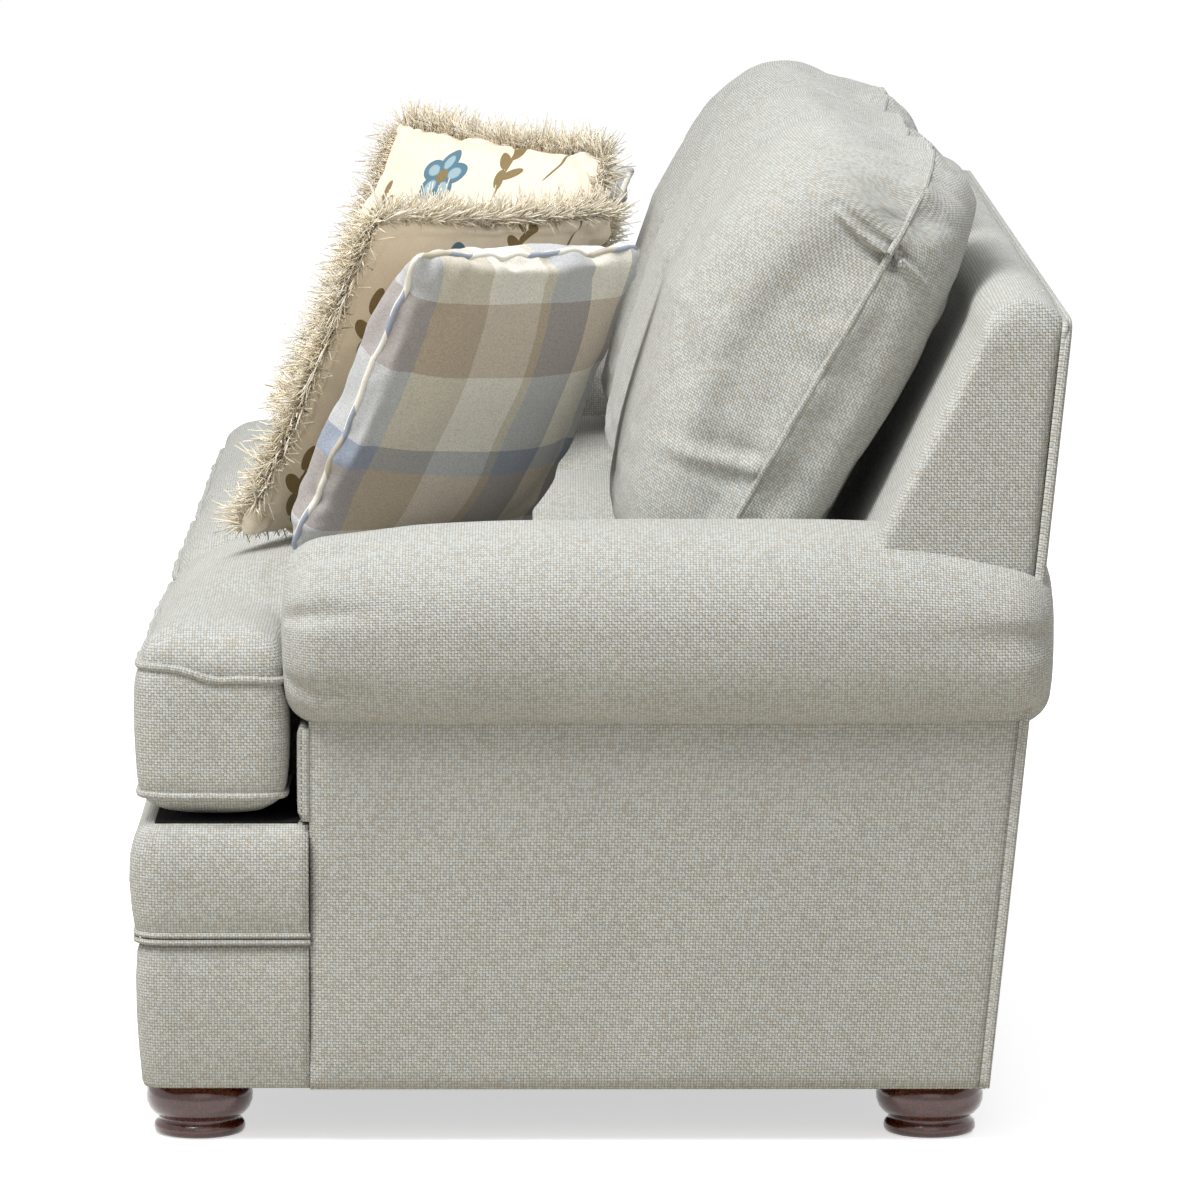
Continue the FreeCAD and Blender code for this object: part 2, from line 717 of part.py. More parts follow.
def base_wire(height, reach):
    """Footprint of the front box at a height, its front corners rounded."""
    side = float(s.side_half + reach)
    front = -float(s.front_reach + reach)
    rear = float(ear_back)
    radius = float(s.corner_round)
    turn = radius * (1 - math.sqrt(0.5))
    edges = [
        Part.LineSegment(vec(side, rear, height), vec(side, front + radius, height)).toShape(),
        Part.Arc(vec(side, front + radius, height), vec(side - turn, front + turn, height),
                 vec(side - radius, front, height)).toShape(),
        Part.LineSegment(vec(side - radius, front, height), vec(-side + radius, front, height)).toShape(),
        Part.Arc(vec(-side + radius, front, height), vec(-side + turn, front + turn, height),
                 vec(-side, front + radius, height)).toShape(),
        Part.LineSegment(vec(-side, front + radius, height), vec(-side, rear, height)).toShape(),
        Part.LineSegment(vec(-side, rear, height), vec(side, rear, height)).toShape(),
    ]
    return Part.Wire(edges)


def front_bands():
    """The two padded bands round the front box and the welt between them."""
    hollow = Part.makeBox(float(rail_side) * 2, float(ear_back - rail_front) * 2, float(s.deck_height),
                          vec(-rail_side, rail_front, s.foot_height))
    lower_top = s.band_seam - s.welt_round
    middle = (s.foot_height + lower_top) / 2
    taper, swell = -s.band_taper, s.band_swell
    lower = loft([base_wire(s.foot_height, taper), base_wire(middle, taper * taper_middle_share),
                  base_wire(lower_top, zero)])
    upper_low = s.band_seam + s.welt_round
    upper_mid = (upper_low + s.deck_height) / 2
    shoulder = s.deck_height - s.band_lip
    upper = loft([base_wire(upper_low, zero), base_wire(upper_mid, swell),
                  base_wire(shoulder, swell * swell_shoulder_share),
                  base_wire(s.deck_height, -s.band_lip * lip_share)])
    lower_band = solid_of(lower.cut(hollow))
    upper_band = solid_of(upper.cut(hollow))
    keep("lower_border", shaped("LowerBorder", lower_band))
    keep("front_border", shaped("FrontBorder", upper_band))
    side, front, rear = s.side_half, -s.front_reach, ear_back
    turn = s.corner_round / 2
    half_run = [vec(side, rear, s.band_seam), vec(side, front + turn, s.band_seam),
                vec(side - turn, front, s.band_seam)]
    other = [Vector(-place.x, place.y, place.z) for place in reversed(half_run)]
    welt = welt_run(half_run + other)
    keep("border_welt", shaped("BorderWelt", welt))
    return lower_band, upper_band


def arm_section(y, share=1.0):
    """Section of the padded roll on the left, above the arm front panel, drawn in by a share."""
    inner, low = s.seat_half, s.roll_height - s.roll_round
    centre, middle, radius = s.roll_centre, s.roll_height, s.roll_round
    top = middle + radius
    shoulder = s.arm_shoulder
    heart = vec((inner + centre + radius) / 2, y, middle)

    def place(x, z):
        return heart + (vec(x, y, z) - heart) * share

    first, rise = place(inner, low), place(inner, s.arm_inner_rise)
    crest, under = place(centre, top), place(centre, low)
    bulge = place(inner + shoulder * shoulder_in_share, top - shoulder * shoulder_down_share)
    return Part.Wire([
        Part.LineSegment(first, rise).toShape(),
        Part.Arc(rise, bulge, crest).toShape(),
        Part.Arc(crest, place(centre + radius, middle), under).toShape(),
        Part.LineSegment(under, first).toShape(),
    ])


def arm_form():
    """The left arm's soft form before the boards inside are cut out."""
    front, rear, soft = -float(s.roll_front), float(s.roll_rear), float(s.roll_soft)
    low = float(s.roll_height - s.roll_round)
    roll = Part.Face(arm_section(front + soft)).extrude(Vector(0, rear - front - soft * 2, 0))
    width = float(s.roll_centre + s.roll_round - s.seat_half)
    for end, way in ((front + soft, -1), (rear - soft, 1)):
        steps = [(end + way * soft * run, 1 - soft * 2 * inset / width) for run, inset in end_round_shares]
        roll = roll.fuse(loft([arm_section(y, share) for y, share in steps]))
    face = Part.makeBox(float(s.arm_face_pad), float(s.back_bend_front - post_front),
                        low - float(s.deck_height), vec(s.seat_half, post_front, s.deck_height))
    return roll.fuse(face)


def arms(wood):
    """Padded rolls, arm front panels, outside panels and the short welts."""
    form = arm_form()
    shapes = {"left": form, "right": mirrored(form)}
    for side, sign in (("left", 1), ("right", -1)):
        keep(f"arm_pad_{side}", shaped(f"ArmPad_{side}", carve(shapes[side], wood)))
        facing_panel(side, sign)
        outside_panel(side, sign)
    return list(shapes.values())


def facing_panel(side, sign):
    body = doc.addObject("PartDesign::Body", f"Facing_{side}")
    low, high = sided(sign, s.seat_half, rail_side)
    points = [(low, s.deck_height), (high, s.deck_height),
              (high, s.roll_height - s.roll_round), (low, s.roll_height - s.roll_round)]
    sketch = outline_sketch(body, "XZ_Plane", -post_front, points)
    pad = body.newObject("PartDesign::Pad", f"FacingPad_{side}")
    pad.Profile = sketch
    bind(pad, "Length", post_front + s.facing_front)
    doc.recompute()
    front = -float(s.facing_front)
    names = []
    for index, edge in enumerate(pad.Shape.Edges, start=1):
        upright_edge = abs(edge.Vertexes[0].Point.z - edge.Vertexes[-1].Point.z) > float(s.board)
        if upright_edge and abs(edge.CenterOfMass.y - front) < tolerance:
            names.append(f"Edge{index}")
    soft = body.newObject("PartDesign::Fillet", f"FacingSoft_{side}")
    soft.Base = (pad, names)
    bind(soft, "Radius", s.facing_soft)
    keep(f"arm_front_panel_{side}", body)


def outside_panel(side, sign):
    low, high = s.foot_height, s.side_panel_tuck
    points = [(-s.side_panel_front, low), (rear_at(low) - s.back_skin, low),
              (rear_at(high) - s.back_skin, high), (-s.side_panel_front, high)]
    keep(f"outside_arm_{side}",
         across_profile(f"OutsideArm_{side}", points, *sided(sign, rail_side, s.side_half)))


def short_welts(neighbours):
    """The welt that stands between each arm front panel and the outside arm."""
    low, high = float(s.deck_height), float(s.roll_height - s.roll_round)
    radius = float(s.welt_round)
    x = float(s.side_half) - radius
    rod = Part.makeCylinder(radius, high - low, vec(x, -s.side_panel_front - s.welt_round, low))
    rods = [rod, mirrored(rod)]
    keep("arm_welts", shaped("ArmWelts", Part.makeCompound([carve(r, neighbours) for r in rods])))


def back_wire(x, inset):
    """Side outline of the padded back, its front and crest drawn in towards the rear."""
    start = s.crest_start - inset * crest_share
    low = vec(x, s.back_low_front + inset, s.deck_height)
    bend = vec(x, s.back_bend_front + inset, s.back_bend)
    top = vec(x, s.back_top_front + inset, start)
    crest = vec(x, s.crest_peak + inset * crest_share, s.top_seam + s.crest_rise - inset)
    seam = vec(x, post_rear(s.top_seam), s.top_seam)
    foot_line = vec(x, post_rear(s.deck_height), s.deck_height)
    return Part.Wire([
        Part.LineSegment(low, bend).toShape(),
        Part.LineSegment(bend, top).toShape(),
        Part.Arc(top, crest, seam).toShape(),
        Part.LineSegment(seam, foot_line).toShape(),
        Part.LineSegment(foot_line, low).toShape(),
    ])


def padded_back(wood, arm_forms):
    """The padded inside back with its rounded crest, hollow round the boards."""
    half = float(s.side_half - s.end_tuck)
    rear_high = post_rear(s.top_seam)
    soft = s.back_end_soft
    shoulder = half - float(soft)
    form = Part.Face(back_wire(-shoulder, zero)).extrude(Vector(shoulder * 2, 0, 0))
    turns = [(shoulder + float(soft) * run, soft * inset) for run, inset in end_round_shares]
    end = Part.makeLoft([back_wire(x, inset) for x, inset in turns], True, True)
    form = form.fuse([end, mirrored(end)])
    pad = s.back_pad
    hollow_half = float(rail_inner)
    hollow = extruded([
        vec(-hollow_half, s.back_low_front + pad, s.deck_height),
        vec(-hollow_half, s.back_bend_front + pad, s.back_bend),
        vec(-hollow_half, s.back_top_front + pad, s.post_top), vec(-hollow_half, rear_high, s.post_top),
        vec(-hollow_half, post_rear(s.deck_height), s.deck_height),
    ], Vector(hollow_half * 2, 0, 0))
    depth = float(s.rear_top - s.back_low_front) * 2
    width = half - float(s.seat_half)
    rise = float(s.roll_height - s.deck_height)
    corner = Part.makeBox(width, depth, rise, vec(s.seat_half, s.back_low_front, s.deck_height))
    tools = [hollow, corner, mirrored(corner)] + arm_forms + wood
    keep("inside_back_pad", shaped("InsideBackPad", carve(form, tools)))


def outside_back(arm_forms):
    low, high = s.foot_height, s.top_seam
    points = [(rear_at(low) - s.back_skin, low), (rear_at(low), low),
              (rear_at(high), high), (rear_at(high) - s.back_skin, high)]
    plate = across_profile("OutsideBackPlate", points, -s.side_half, s.side_half)
    doc.recompute()
    keep("outside_back", shaped("OutsideBack", carve(plate.Shape, arm_forms)))


def back_welt(neighbours):
    """The welt round the outside back: up both sides and across the top."""
    side = float(s.side_half)
    low, high = float(s.foot_height), float(s.top_seam)
    bottom = vec(side, rear_at(s.foot_height), low)
    top = vec(side, rear_at(s.top_seam), high)
    bend = float(s.corner_round) / 2
    half_run = [bottom, top + (bottom - top).normalize() * bend, top - Vector(bend, 0, 0)]
    tube = welt_run(half_run + [Vector(-place.x, place.y, place.z) for place in reversed(half_run)])
    keep("back_welt", shaped("BackWelt", carve(tube, neighbours)))


def cushion_outline(inner, outer, ear, inset, height, rear_inset=None):
    """Outline of a seat cushion; an ear wraps in front of the arm."""
    rear_inset = inset if rear_inset is None else rear_inset
    front = -float(s.cushion_front) + inset
    rear = float(s.cushion_rear) - rear_inset
    radius = max(float(s.cushion_round) - inset / 2, float(s.welt_round))
    low, high = inner + inset, outer - inset
    if ear is None:
        points = [Vector(low, front), Vector(high, front), Vector(high, rear), Vector(low, rear)]
        return soft_outline(points, [radius] * 4, height)
    ear_high, ear_rear = ear - inset, -float(s.ear_rear) - inset
    points = [Vector(low, front), Vector(ear_high, front), Vector(ear_high, ear_rear),
              Vector(high, ear_rear), Vector(high, rear), Vector(low, rear)]
    radii = [radius, radius, radius, float(s.welt_round) * 2, radius, radius]
    return soft_outline(points, radii, height)


def seat_cushion_form(inner, outer, ear):
    """Boxed cushion: drawn-in underside, boxing between two welts, and a crown."""
    bottom = float(s.deck_height + s.rest_gap)
    lower, upper = float(s.lower_welt), float(s.upper_welt)
    crown = float(s.crown_inset)
    under, over = lower - bottom, float(s.ear_crown) - upper
    levels = [(bottom + under * rise, crown * run) for rise, run in under_shares]
    levels.append(((lower + upper) / 2, -float(s.boxing_swell)))
    levels += [(upper + over * rise, crown * run) for rise, run in over_shares]
    body = banded([cushion_outline(inner, outer, ear, inset, height) for height, inset in levels])
    edge, rear_edge, run = float(s.dome_edge), float(s.dome_rear), float(s.dome_run)
    start = upper + over * dome_start_share
    rise = float(s.seat_crown) - start
    rings = []
    for share, run_share in dome_shares:
        inset = edge + run * run_share
        rear_inset = rear_edge + edge * run_share
        rings.append(cushion_outline(inner, outer, None, inset, start + rise * share, rear_inset))
    return body.fuse(banded(rings))


def foam_core(inner, outer, ear):
    inset = float(s.core_inset)
    low = float(s.lower_welt)
    high = float(s.upper_welt - s.core_skin)
    return extruded(cushion_outline(inner, outer, ear, inset, low), Vector(0, 0, high - low))


def seat_cushions():
    half_gap = float(s.cushion_gap) / 2
    inner, outer = float(s.seat_pitch) / 2 + half_gap, float(s.seat_half) - half_gap
    middle = float(s.seat_pitch) / 2 - half_gap
    ear = float(s.cushion_side)
    shapes = {
        "left": (seat_cushion_form(inner, outer, ear), foam_core(inner, outer, ear)),
        "middle": (seat_cushion_form(-middle, middle, None), foam_core(-middle, middle, None)),
    }
    shapes["right"] = tuple(mirrored(shape) for shape in shapes["left"])
    for side, (cover, core) in shapes.items():
        keep(f"seat_cushion_{side}", shaped(f"SeatCushion_{side}", solid_of(cover.cut(core))))
        keep(f"seat_core_{side}", shaped(f"SeatCore_{side}", core))


def crowned_pillow(low_x, high_x, low_y, high_y, radius, levels):
    """A knife-edge form: outlines that shrink away from the seam, front and rear."""
    rings = []
    for height, inset in levels:
        points = [Vector(low_x + inset, low_y + inset), Vector(high_x - inset, low_y + inset),
                  Vector(high_x - inset, high_y - inset), Vector(low_x + inset, high_y - inset)]
        room = min(high_x - low_x, high_y - low_y) / 2 - inset
        radii = [min(radius, room * corner_room_share)] * 4
        rings.append(soft_outline(points, radii, height))
    return banded(rings)


def leaned(shape, place, lean, turn=0.0, roll=0.0):
    """Stands a form that was made lying, leans it back and turns it."""
    shape = shape.copy()
    shape.rotate(Vector(), Vector(0, 0, 1), roll)
    shape.rotate(Vector(), Vector(1, 0, 0), 90 - lean)
    shape.rotate(Vector(), Vector(0, 0, 1), turn)
    shape.translate(place)
    return shape


def back_cushion_form(inset, trim_share):
    half = float(s.back_cushion_half)
    low, high = float(s.back_cushion_low), float(s.back_cushion_top)
    reach = high * belly_inset_share
    front, rear = float(s.back_belly_front) * trim_share, float(s.back_belly_rear) * trim_share
    levels = [(-rear * share, reach * run + inset) for share, run in rear_belly_shares]
    levels += [(front * share, reach * run + inset) for share, run in front_belly_shares]
    return crowned_pillow(-half, half, -low, high, float(s.back_cushion_round), levels)


def back_cushions():
    """Three plump cushions that lean on the inside back, each with its filling."""
    cover = back_cushion_form(0.0, 1.0)
    filling = back_cushion_form(float(s.fill_inset), 1 - float(s.fill_inset) / float(s.back_belly_front))
    for side, sign in (("left", 1), ("middle", 0), ("right", -1)):
        place = vec(s.seat_pitch * sign, s.back_cushion_place, s.back_cushion_height)
        pair = [leaned(form, place, back_cushion_lean) for form in (cover, filling)]
        outer, inner = settled(pair, nodes[f"seat_cushion_{side}"].Shape, Vector(0, 0, -1))
        keep(f"back_cushion_{side}", shaped(f"BackCushion_{side}", solid_of(outer.cut(inner))))
        keep(f"back_fill_{side}", shaped(f"BackFill_{side}", inner))


def throw_pillow(half, thick):
    half, thick = float(half), float(thick)
    levels = [(-thick * share, half * run) for share, run in reversed(pillow_belly_shares)]
    levels += [(0.0, 0.0)]
    levels += [(thick * share, half * run) for share, run in pillow_belly_shares]
    return crowned_pillow(-half, half, -half, half, float(s.pillow_corner), levels)


def fringe_ring(half, pillow):
    """Brush fringe past the seam on three sides; the lower side is crushed under the pillow."""
    half, width, thick = float(half), float(s.fringe_width), float(s.fringe_thick)
    outer = half + width
    low = -half
    points = [Vector(-outer, low), Vector(outer, low), Vector(outer, outer), Vector(-outer, outer)]
    outline = soft_outline(points, [float(s.pillow_corner)] * 4, -thick / 2)
    return solid_of(extruded(outline, Vector(0, 0, thick)).cut(pillow))


def pillow_rise(half):
    """Centre height of a pillow whose lowest corner rests on the seat's crown."""
    lean, roll = math.radians(pillow_lean), math.radians(pillow_roll)
    return float(s.seat_crown + s.rest_gap) + float(half) * math.cos(lean) * (math.cos(roll) + math.sin(roll))


def settled(shapes, support, way):
    """Backs shapes away together, then moves them along a way until they almost touch their support."""
    clear, touching = -float(s.settle_reach), float(s.settle_reach)
    for step in range(settle_steps):
        middle = (clear + touching) / 2
        overlaps = [shape.translated(way * middle).common(support).Volume for shape in shapes]
        if max(overlaps) > tolerance:
            touching = middle
        else:
            clear = middle
    return [shape.translated(way * (clear - float(s.rest_gap))) for shape in shapes]


def throw_pillows():
    """A plaid pillow in each corner, and a fringed one leaning on it."""
    seat = nodes["seat_cushion_left"].Shape
    plaid = throw_pillow(s.plaid_half, s.plaid_thick)
    floral = throw_pillow(s.floral_half, s.floral_thick)
    fringe = fringe_ring(s.floral_half, floral)
    down = Vector(0, 0, -1)
    plaid_at = vec(s.plaid_place, -s.plaid_forward, pillow_rise(s.plaid_half))
    floral_at = vec(s.floral_place, -s.floral_forward, pillow_rise(s.floral_half))
    plaid, = settled([leaned(plaid, plaid_at, pillow_lean, -pillow_turn, pillow_roll)], seat, down)
    pair = [leaned(shape, floral_at, pillow_lean, -pillow_turn, pillow_roll) for shape in (floral, fringe)]
    back = Vector(math.sin(math.radians(pillow_turn)), math.cos(math.radians(pillow_turn)), 0)
    for support, way in ((seat, down), (plaid, back), (seat, down), (plaid, back)):
        pair = settled(pair, support, way)
    for name, shape in zip(("pillow_plaid", "pillow_floral", "fringe"), [plaid] + pair):
        keep(f"{name}_left", shaped(f"{name}_left_form", shape))
        keep(f"{name}_right", shaped(f"{name}_right_form", mirrored(shape)))


wooden_frame()
feet_and_fixings()
doc.recompute()
wood_labels = ["arm_post_left", "arm_post_right", "arm_rail_left", "arm_rail_right", "back_post_left",
               "back_post_right", "back_lower_rail", "back_top_rail"]
wood = [nodes[label].Shape for label in wood_labels]
suspension()
deck()
bands = front_bands()
arm_forms = arms(wood)
outside_back(arm_forms)
padded_back(wood, arm_forms)
doc.recompute()
outside = [nodes[label].Shape for label in ("outside_back", "inside_back_pad", "outside_arm_left",
                                            "outside_arm_right")]
back_welt(outside + arm_forms)
short_welts(list(bands) + [nodes[f"{label}_{side}"].Shape for label in ("outside_arm", "arm_front_panel")
                           for side in ("left", "right")] + arm_forms)
seat_cushions()
back_cushions()
throw_pillows()
doc.recompute()

for item in doc.Objects:
    if "Invalid" in item.State or "Error" in item.State:
        raise RuntimeError(f"{item.Label} failed: {item.State}")
os.makedirs("parts", exist_ok=True)
for label, item in nodes.items():
    shape = item.Shape
    if shape.isNull() or not shape.isValid():
        raise RuntimeError(f"{label} has no valid shape")
    shape.exportStep(os.path.join("parts", f"{label}.step"))
print(len(nodes), "nodes written")
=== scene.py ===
"""Dresses the rolled-arm sofa: upholstery, loose cushions, throw pillows, bun feet and a plain studio."""

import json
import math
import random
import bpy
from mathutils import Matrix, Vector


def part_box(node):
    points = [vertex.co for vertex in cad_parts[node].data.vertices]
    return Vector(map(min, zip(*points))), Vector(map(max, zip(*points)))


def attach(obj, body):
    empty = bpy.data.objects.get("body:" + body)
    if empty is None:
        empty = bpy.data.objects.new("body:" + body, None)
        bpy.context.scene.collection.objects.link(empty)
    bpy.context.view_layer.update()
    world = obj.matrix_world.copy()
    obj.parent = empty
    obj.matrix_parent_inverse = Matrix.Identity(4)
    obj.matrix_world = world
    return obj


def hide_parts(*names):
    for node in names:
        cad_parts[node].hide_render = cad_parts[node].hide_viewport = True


bl_info = {
    "name": "Rolled Arm Sofa",
    "version": (1, 0, 0),
    "blender": (4, 5, 0),
    "location": "View3D > Sidebar > Sofa",
    "description": "Upholstery, cushions, pillows and feet for a rolled-arm sofa",
    "category": "Object",
}

import bpy
import bmesh
from bpy.props import FloatProperty, FloatVectorProperty, IntProperty, PointerProperty
from mathutils import Matrix, Vector, noise
from mathutils.bvhtree import BVHTree
from mathutils.kdtree import KDTree

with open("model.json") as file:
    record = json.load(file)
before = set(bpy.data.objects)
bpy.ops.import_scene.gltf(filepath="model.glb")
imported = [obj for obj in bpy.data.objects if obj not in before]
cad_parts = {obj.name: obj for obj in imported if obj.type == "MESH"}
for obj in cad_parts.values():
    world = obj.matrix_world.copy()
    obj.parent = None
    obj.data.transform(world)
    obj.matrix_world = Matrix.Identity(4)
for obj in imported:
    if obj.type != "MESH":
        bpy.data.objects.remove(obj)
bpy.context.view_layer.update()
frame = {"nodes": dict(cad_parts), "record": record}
nodes = frame["nodes"]

SIDES = {"left": 1, "right": -1}
SEATS = {"left": 1, "middle": 0, "right": -1}
MIRROR = Matrix.Scale(-1, 4, Vector((1, 0, 0)))

# Measures of the covered frame, in metres
BOX_SIDE, BOX_FRONT, BOX_CORNER = 1.100, -0.503, 0.030
PANEL_LOW, PANEL_FRONT = 0.060, -0.3152
DECK_HEIGHT, SEAT_TOP = 0.351, 0.594
ARM_INNER, ARM_LOW, ARM_PANEL_TOP = 0.900, 0.456, 0.470
BACK_FOOT_Y, BACK_TOP_Y, BACK_TOP_Z = 0.414, 0.498, 0.890


def linear(code):
    """A colour written as six hex digits, for the shader."""
    channels = [int(code[i:i + 2], 16) / 255 for i in (0, 2, 4)]
    return tuple(c / 12.92 if c <= 0.04045 else ((c + 0.055) / 1.055) ** 2.4 for c in channels)


def colour(name, description, code):
    return FloatVectorProperty(name=name, description=description, default=linear(code), subtype="COLOR",
                               size=3, min=0, max=1)


def length(name, description, metres):
    return FloatProperty(name=name, description=description, default=metres, unit="LENGTH", precision=4)


class SofaSizes(bpy.types.PropertyGroup):
    """Sizes of the upholstery that a user would change."""

    welt_radius: length("Welt radius", "Radius of the self-covered piping", 0.0042)
    weave_pitch: length("Weave pitch", "Distance between neighbouring yarns", 0.0031)
    arm_end_round: length("Arm end rounding", "Rounding at both ends of the arm rolls", 0.036)
    seat_crown_pull: length("Seat puff", "Farthest that a seat cushion puffs up", 0.008)
    back_puff: length("Back puff", "Farthest that a back cushion puffs up", 0.012)
    pillow_puff: length("Pillow puff", "Farthest that a throw pillow puffs up", 0.008)
    fringe_length: length("Fringe length", "Length of the brush fringe's yarns", 0.034)
    fringe_yarns: IntProperty(name="Fringe yarns", description="Yarns round one fringed pillow", default=6500)
    plaid_repeat: length("Plaid repeat", "Width of one repeat of the plaid", 0.40)
    sprig_repeat: length("Sprig repeat", "Width of one repeat of the embroidery", 0.205)


class SofaColours(bpy.types.PropertyGroup):
    """Colours of the fabrics, trims and wood."""

    pale_yarn: colour("Pale yarn", "Lightest yarn of the upholstery", "d1d3ce")
    grey_yarn: colour("Blue-grey yarn", "Blue-grey yarn of the upholstery", "b9bdbc")
    tan_yarn: colour("Tan yarn", "Warm yarn of the upholstery", "c3bdb0")
    plaid_cream: colour("Plaid cream", "Cream band of the plaid", "f5f1e6")
    plaid_greige: colour("Plaid greige", "Greige band of the plaid", "cec5b0")
    plaid_taupe: colour("Plaid taupe", "Taupe band of the plaid", "cab7a3")
    plaid_blue: colour("Plaid blue-grey", "Blue-grey band of the plaid", "a6adbb")
    linen: colour("Linen", "Ground of the embroidered pillows", "f8ecd8")
    leaf: colour("Leaf", "Tan leaves of the embroidery", "9a855a")
    bloom: colour("Bloom", "Dark blue of the embroidered blooms", "5b7d8f")
    bloom_pale: colour("Pale bloom", "Light blue of the embroidered blooms", "9fb9c2")
    fringe: colour("Fringe", "Brush fringe", "f8efdb")
    fringe_dark: colour("Fringe shade", "Darker yarns of the fringe", "f1e0be")
    mahogany: colour("Mahogany", "Stained wood of the feet", "4a1a0b")
    mahogany_dark: colour("Dark mahogany", "Grain of the feet", "1c0805")


def sizes():
    return bpy.context.scene.sofa_sizes


def colours():
    return bpy.context.scene.sofa_colours


# Shader maths

class Shade:
    """A value in a material; arithmetic on it adds Math nodes."""

    def __init__(self, recipe, socket):
        self.recipe = recipe
        self.socket = socket

    def maths(self, operation, *others):
        return self.recipe.node("ShaderNodeMath", {"operation": operation}, dict(enumerate((self, *others))))

    def __add__(self, other):
        return self.maths("ADD", other)

    __radd__ = __add__

    def __sub__(self, other):
        return self.maths("SUBTRACT", other)

    def __rsub__(self, other):
        return self.recipe.node("ShaderNodeMath", {"operation": "SUBTRACT"}, {0: other, 1: self})

    def __mul__(self, other):
        return self.maths("MULTIPLY", other)

    __rmul__ = __mul__

    def __truediv__(self, other):
        return self.maths("DIVIDE", other)

    def __gt__(self, other):
        return self.maths("GREATER_THAN", other)

    def floor(self):
        return self.maths("FLOOR")

    def wrapped(self, size=1.0):
        return self.maths("FLOORED_MODULO", size)

    def sine(self):
        return self.maths("SINE")

    def size(self):
        return self.maths("ABSOLUTE")

    def most(self, other):
        return self.maths("MAXIMUM", other)


class Recipe:
    """A material under construction."""

    def __init__(self, name):
        self.material = bpy.data.materials.new(name)
        self.material.use_nodes = True
        self.tree = self.material.node_tree
        self.tree.nodes.clear()
        self.output = self.tree.nodes.new("ShaderNodeOutputMaterial")

    def node(self, kind, settings=None, values=None, output=0):
        """Adds a node: its settings first, then the values or links of its sockets."""
        made = self.tree.nodes.new(kind)
        for name, value in (settings or {}).items():
            if name == "stops":
                self.stops(made.color_ramp, value)
            elif name == "interpolation":
                made.color_ramp.interpolation = value
            else:
                setattr(made, name, value)
        for name, value in (values or {}).items():
            target = made.inputs[name]
            if isinstance(value, Shade):
                self.tree.links.new(value.socket, target)
            elif target.type == "RGBA" and len(value) == 3:
                target.default_value = (*value, 1)
            else:
                target.default_value = value
        return Shade(self, made.outputs[output])

    @staticmethod
    def stops(ramp, stops):
        while len(ramp.elements) < len(stops):
            ramp.elements.new(1)
        for element, (place, shade) in zip(ramp.elements, stops):
            element.position = place
            element.color = (*shade, 1) if len(shade) == 3 else shade

    def parts(self, vector):
        """The x, y and z of a vector."""
        made = self.node("ShaderNodeSeparateXYZ", None, {0: vector})
        outputs = made.socket.node.outputs
        return [Shade(self, outputs[i]) for i in range(3)]

    def joined(self, x, y, z=0.0):
        return self.node("ShaderNodeCombineXYZ", None, {0: x, 1: y, 2: z})

    def cloth_place(self):
        """Where a point lies on the cloth both ways, in metres, from the piece's own map."""
        return self.parts(self.node("ShaderNodeUVMap", {"uv_map": "Cloth"}))[:2]

    def object_place(self):
        return self.node("ShaderNodeTexCoord", None, None, "Object")

    def noise(self, vector, scale=1.0, detail=2.0, rough=0.5):
        return self.node("ShaderNodeTexNoise", {"noise_dimensions": "3D"},
                         {"Vector": vector, "Scale": scale, "Detail": detail, "Roughness": rough}, "Fac")

    def blend(self, factor, first, second, kind="MIX"):
        """A mix of two colours."""
        return self.node("ShaderNodeMix", {"data_type": "RGBA", "blend_type": kind},
                         {0: factor, 6: first, 7: second}, 2)

    def ramp(self, factor, stops, interpolation="LINEAR"):
        return self.node("ShaderNodeValToRGB", {"interpolation": interpolation, "stops": stops}, {0: factor})

    def bump(self, height, strength, distance):
        return self.node("ShaderNodeBump", None, {"Height": height, "Strength": strength, "Distance": distance})

    def finish(self, values):
        """A Principled surface with these sockets."""
        made = self.node("ShaderNodeBsdfPrincipled", None, values)
        self.tree.links.new(made.socket, self.output.inputs["Surface"])
        return self.material


PLAID_PITCH, LINEN_PITCH = 0.0011, 0.0009


def woven(recipe, u, v, pitch):
    """Plain weave: which yarn is on top, how far it rises, and its streaks both ways."""
    across, along = u / pitch, v / pitch
    over = (across.floor() + along.floor()).wrapped(2.0)
    rise_across = (along * math.pi).sine().size()
    rise_along = (across * math.pi).sine().size()
    warp = recipe.noise(recipe.joined(across.floor() * 7.31, along * 0.42, 3.1), 1.0, 1.0, 0.5)
    weft = recipe.noise(recipe.joined(across * 0.42, along.floor() * 7.31, 7.7), 1.0, 1.0, 0.5)
    rise = over * rise_along + (1 - over) * rise_across
    streak = over * warp + (1 - over) * weft
    return over, rise, streak


